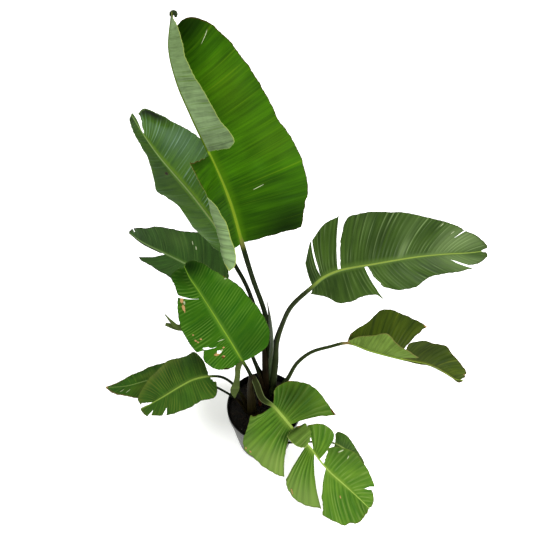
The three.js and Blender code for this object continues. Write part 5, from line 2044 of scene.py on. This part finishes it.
LEAF_G = Leaf(
    "leaf_g",
    stem=Stem(
        path=((20, 52, 165), (26, 54, 300), (32, 58, 400), (38, 63, 520), (53, 69, 592), (79, 63, 692),
            (133, 66, 772), (158, 79, 790), (200, 90, 808), (242, 92, 820), (284, 94, 828),
            (348, 102, 836), (414, 114, 838), (483, 127, 834), (567, 145, 822), (605, 157, 815)),
        face=((0, -1, -0.2, 0.3), (4, -1, -0.2, 0.3), (5, -0.6, -0.3, 0.8), (6, 0, -0.4, 0.9)),
        girth=((0, 18, 16), (1, 17, 15), (2, 15, 13), (3, 11, 9.5), (4, 8, 7.5), (5, 7, 6.5), (6, 6, 5.5),
            (9, 4, 4), (15, 1.4, 1.3)),
        blade=6,
    ),
    right=(
        Segment((-10, -25, 0), ((0, 12, -19), (34, 54, -18), (66, 85, -14), (95, 90, 6), (118, 81, 21),
            (134, 84, 35), (151, 98, 40))),
        Segment((-10, -25, 0), ((158, 66, 37), (169, 77, 50), (194, 83, 62), (222, 79, 65), (249, 63, 69),
            (291, 56, 74), (334, 51, 81, -10, -20), (363, 45, 94, -10, -15))),
        Segment((-5, 0, 0), ((369, 36, 76, -10, -15), (408, 29, 72, -10, -10), (439, 15, 68),
            (469, 6, 42), (490, 3, 18, 0)), join=0.4),
    ),
    left=(
        Segment((10, -20, 0), ((0, 60, 25), (16, 84, 40), (29, 104, 42))),
        Segment((10, -20, 0), ((34, 106, 34), (45, 129, 55), (66, 145, 63), (81, 152, 51)), join=0.1),
        Segment((10, -20, 0), ((88, 121, 37), (96, 143, 40), (113, 151, 48), (146, 150, 61),
            (189, 137, 84), (233, 119, 97), (278, 99, 105), (317, 85, 104), (355, 65, 99))),
        Segment((0, 0, 0), ((358, 62, 99, 10, -20), (393, 45, 97, 10, -15), (424, 25, 87, 10, -5),
            (456, 10, 61, 5), (490, 4, 12)), join=0.7),
    ),
    blade=BladeFinish(
        "415d1c", "253c10", "6b8050", "57732a", "7c935c", "3c4c20", gloss=0.06, rough=0.48, lines=0.8,
        even=0.6,
    ),
    stalk=StemFinish("2a3418", "343f22", "849840", "54703a", crest=0.78),
    relief=Relief(12.0, 0.9, 3.0, 44.0, 7, clear=(0.45, 1.0)),
    marks=(Mark(-1, 340, 0.8, 0.06, 0.8, PALE), Mark(-1, 300, 0.9, 0.05, 0.8, PALE)),
    # Patches of painted light and shade.
    painted_lights=(PaintedLight(-1, 370, 0.6, 0.8, 60, 0.45), PaintedLight(1, 380, 0.6, 0.8, 50, 0.35),
        PaintedLight(-1, 12, 0.5, 0.9, 12, -0.4), PaintedLight(1, 40, 0.5, 0.9, 60, -0.3),
        PaintedLight(-1, 150, 0.8, 0.4, 24, 0.15), PaintedLight(-1, 175, 0.5, 0.5, 30, -0.35),
        PaintedLight(-1, 247, 0.22, 0.25, 9, 0.5), PaintedLight(-1, 230, 0.7, 0.4, 26, 0.1),
        PaintedLight(-1, 295, 0.4, 0.5, 26, -0.3)),
)
LEAF_H = Leaf(
    "leaf_h",
    stem=Stem(
        path=((24, 48, 165), (34, 46, 230), (54, 39, 280), (77, 36, 345), (105, 51, 412), (149, 56, 468),
            (203, 53, 502), (253, 54, 520), (318, 22, 527), (375, 3, 526), (435, -8, 516),
            (497, -13, 500), (544, -27, 480), (580, -36, 458), (619, -26, 438)),
        face=((0, -0.8, 0, 0.6), (3, -0.8, 0, 0.6), (6, -0.4, 0, 0.9), (7, 0.1, -0.1, 1)),
        girth=((0, 24, 20), (1, 18, 13), (2, 10, 8.5), (3, 7.5, 7), (5, 5.8, 5.5), (7, 5, 4.6),
            (14, 1.4, 1.3)),
        blade=7,
    ),
    right=(
        Segment((95, 10, 0), ((0, 17, 10, 80), (33, 43, 8, 92), (63, 68, 14), (88, 88, 18), (100, 81, 20),
            (112, 68, 24, 92), (139, 59, 27, 85), (163, 42, 43, 75))),
        Segment((45, 10, 0), ((172, 20, 30), (227, 20, 32), (294, 14, 34, 45, 0), (373, 4, 12, 20, 0))),
    ),
    left=(
        Segment((20, -20, 0), ((0, 29, 10, 20, -15), (33, 76, -8), (60, 125, -16), (88, 148, 5),
            (115, 146, 28), (139, 137, 52), (157, 120, 77, 20, -15))),
        Segment((25, -15, 0), ((166, 54, 20, 25, -10), (178, 69, 45), (203, 68, 70), (233, 67, 76),
            (263, 55, 63, 25, -10), (294, 45, 60, 20, 0), (331, 41, 53, 15, 0), (373, 9, 30, 10, 0))),
    ),
    blade=BladeFinish("4b5d11", "2a3c0c", "6f8c3a", "6b741b", "6c7420", "4a3c1c", "7c7440"),
    stalk=StemFinish("1c1508", "36441f", "94ac44", "5c8430", joint=0.9),
    relief=Relief(12.0, 0.9, 2.8, 40.0, 8),
    marks=(Mark(-1, 2, 0.2, 0.12, 5, TAN), Mark(-1, 6, 0.7, 0.06, 3, BROWN),
        Mark(-1, 156, 1.0, 0.04, 4, TAN), Mark(-1, 346, 0.97, 0.15, 5, TAN),
        Mark(1, 2, 0.2, 0.1, 5, TAN)),
    # Patches of painted light and shade.
    painted_lights=(PaintedLight(-1, 205, 0.6, 0.7, 40, -0.5),),
)
LEAF_I = Leaf(
    "leaf_i",
    stem=Stem(
        path=((-42, -14, 165), (-42, -22, 300), (-42, -34, 430), (-36, -36, 478), (-25, -38, 440),
            (-1, -57, 370), (27, -63, 345), (56, -92, 335), (89, -127, 318), (120, -154, 297),
            (153, -180, 272), (175, -203, 252), (202, -226, 232), (242, -251, 205), (286, -279, 175),
            (329, -308, 142)),
        face=((0, 0, 1, 0.1), (2, 0, 1, 0.2), (3, 0, 0.2, 1), (4, 0.1, -0.8, 0.6), (5, 0.1, -0.7, 0.7),
            (6, 0.07, -0.45, 0.88)),
        girth=((0, 18, 15), (1, 14, 11), (2, 9, 6), (3, 8, 4), (4, 10, 4.5), (5, 9, 4.5), (6, 5.5, 4.8),
            (9, 3.6, 3.6), (15, 1.3, 1.2)),
        blade=6,
    ),
    right=(
        Segment((-5, -30, 0), ((0, 83, -32, 25, -95), (6, 112, -19, 10, -60), (11, 132, -15, 0, -45),
            (24, 149, -16), (38, 164, -3), (52, 162, 21), (66, 152, 57), (78, 137, 84), (90, 122, 97))),
        Segment((-5, -30, 0), ((157, 131, 40), (167, 147, 62), (177, 148, 97), (184, 130, 124),
            (193, 90, 155))),
        Segment((-5, -25, 0), ((251, 108, 104), (265, 99, 129), (287, 99, 133), (312, 80, 115),
            (341, 59, 103, -5, -20), (372, 34, 74, -5, -10), (402, 20, 42, -5, 0), (425, 14, 20, 0, 0),
            (439, 8, 4, 0, 0))),
    ),
    left=(
        Segment((10, -25, 0), ((0, 35, -26), (13, 59, -44), (24, 95, -48), (38, 117, -34), (52, 134, -17),
            (66, 140, 9), (78, 134, 72))),
        Segment((15, 0, 165), ((97, 40, -4), (104, 95, -10), (122, 118, -11), (140, 91, 0),
            (150, 45, 8)), crease=(0.38, 0.3)),
        Segment((35, -30, 0), ((186, 38, -75), (193, 65, -69), (203, 83, -56), (211, 87, -37),
            (218, 78, -26))),
        Segment((10, -20, 0), ((237, 44, -25), (247, 66, -19), (260, 88, 1), (283, 97, 17), (307, 90, 31),
            (333, 80, 41), (355, 59, 59))),
        Segment((0, 0, 0), ((361, 46, 50, 10, -20), (384, 32, 46, 10, -10), (412, 19, 27, 5),
            (439, 8, 4)), join=0.6),
    ),
    blade=BladeFinish("678e29", "3a6a19", "5c7a2c", "789536", "8da356", "5c6a24", gloss=0.03, even=0.9),
    # Its stalk is painted in shade up to the kink.
    stalk=StemFinish("241f0b", "2c3a16", "98b450", "74983c", crest=0.5, foot=0.33, hem=0.9),
    relief=Relief(15.0, 2.2, 3.2, 38.0, 9),
    marks=(Mark(1, 38, 0.95, 0.015, 2, TAN), Mark(1, 46, 0.93, 0.015, 2, TAN),
        Mark(1, 171, 0.93, 0.03, 1.6, TAN, 1), Mark(-1, 78, 0.995, 0.03, 4, BROWN),
        Mark(-1, 255, 0.85, 0.09, 1.2, PALE, -2), Mark(-1, 275, 0.74, 0.07, 1.2, PALE, 2),
        Mark(1, 305, 0.43, 0.04, 2.2, TAN), Mark(1, 433, 1.0, 0.2, 4, TAN),
        Mark(-1, 24, 1.0, 0.02, 3, TAN), Mark(-1, 101, 0.5, 0.05, 1.6, TAN)),
    # Patches of painted light and shade.
    painted_lights=(PaintedLight(-1, 40, 0.6, 0.6, 45, -0.6), PaintedLight(1, 430, 0.6, 1.0, 60, -0.35),
        PaintedLight(1, 185, 0.9, 0.3, 40, 0.45), PaintedLight(1, 80, 0.75, 0.35, 22, 0.25),
        PaintedLight(1, 60, 0.9, 0.25, 50, 0.3), PaintedLight(1, 100, 0.1, 0.3, 60, -0.3),
        PaintedLight(-1, 270, 0.85, 0.4, 60, -0.35), PaintedLight(-1, 104, 0.7, 0.5, 14, -0.35)),
)
LEAF_J = Leaf(
    "leaf_j",
    stem=Stem(
        path=((-38, -16, 165), (-34, -24, 215), (-8, -66, 256), (24, -148, 266), (65, -147, 262),
            (113, -143, 257), (165, -139, 250), (226, -139, 238), (248, -148, 232), (273, -163, 222),
            (298, -183, 208), (317, -206, 192)),
        face=((0, -0.2, 0.2, 0.9), (6, -0.2, 0.2, 0.9), (7, 0.1, -0.3, 0.95)),
        girth=((0, 22, 19), (1, 14, 9), (2, 4.6, 4.2), (3, 3.6, 3.4), (7, 3, 2.8), (11, 1.2, 1.1)),
        blade=7,
    ),
    right=(
        Segment((-5, -20, 0), ((0, 18, 0), (25, 33, 4), (56, 34, 11), (91, 16, 14, -5, -10),
            (124, 3, 1, 0, 0))),
    ),
    left=(
        Segment((5, -20, 0), ((0, 29, -7), (11, 39, -15), (25, 41, -7), (44, 31, 5), (65, 20, 14, 5, -15),
            (91, 13, 15, 5, 0), (124, 5, 0, 0, 0))),
    ),
    blade=BladeFinish("496b22", "2f4e17", "7a8a4c", "5f7435", "6b8440", "5c5a24", even=0.8),
    stalk=StemFinish("211b09", "1c2610", "8aa050", "5c8030"),
    relief=Relief(10.0, 0.9, 2.4, 30.0, 10),
)
LEAVES = (LEAF_A, LEAF_B, LEAF_C, LEAF_D, LEAF_E, LEAF_F, LEAF_G, LEAF_H, LEAF_I, LEAF_J)
NEW_LEAF = Stem(
    path=((16, 52, 165), (17, 51, 400), (22, 46, 575), (16, 53, 650), (9, 58, 716)),
    face=((0, 1, 0, 0),),
    girth=((0, 9, 9), (1, 9, 9), (2, 6, 6), (3, 4.5, 4.5), (4, 0.8, 0.8)),
)
OLD_STUB = Stem(
    path=((-14, 8, 180), (-15, 8, 215), (-18, 10, 262)),
    face=((0, 0, -1, 0),),
    girth=((0, 6, 3.5), (1, 5, 3), (2, 3, 1.6)),
)
GRITS = (
    Grit("perlite", 420.0, (0.0012, 0.0012, 0.001), (0.0026, 0.0022, 0.002), 0.5, "8f8b80", "bdb9ae", 5),
    Grit("bark_chip", 5200.0, (0.003, 0.0016, 0.0008), (0.0085, 0.0034, 0.0018), 0.7,
         "140d07", "2e1e12", 8),
    Grit("peat_crumb", 20000.0, (0.0008,) * 3, (0.0026, 0.0022, 0.002), 0.8, "0b0805", "1c140d", 2),
)


def spans(corners: Any) -> list[list[float]]:
    """A box as plain lists."""
    return [[float(v) for v in corner] for corner in corners]


def report(name: str, pieces: Sequence[Object]) -> None:
    """Logs how many faces some pieces have."""
    LOG.info("%s: %d faces", name, sum(len(piece.data.polygons) for piece in pieces))


def main() -> None:
    """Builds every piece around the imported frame."""
    logging.basicConfig(level=logging.INFO, format="%(message)s")
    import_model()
    report("pot", [Pot().build()])
    report("soil", Soil(GRITS).build())
    for leaf in LEAVES:
        report(leaf.name, [leaf.build()])
    report("new leaf", [SpearLeaf(NEW_LEAF, 3.0).build()])
    report("old stub", [OldStub(OLD_STUB, 1.6).build()])
    Studio().build()


if __name__ == "__main__":
    main()
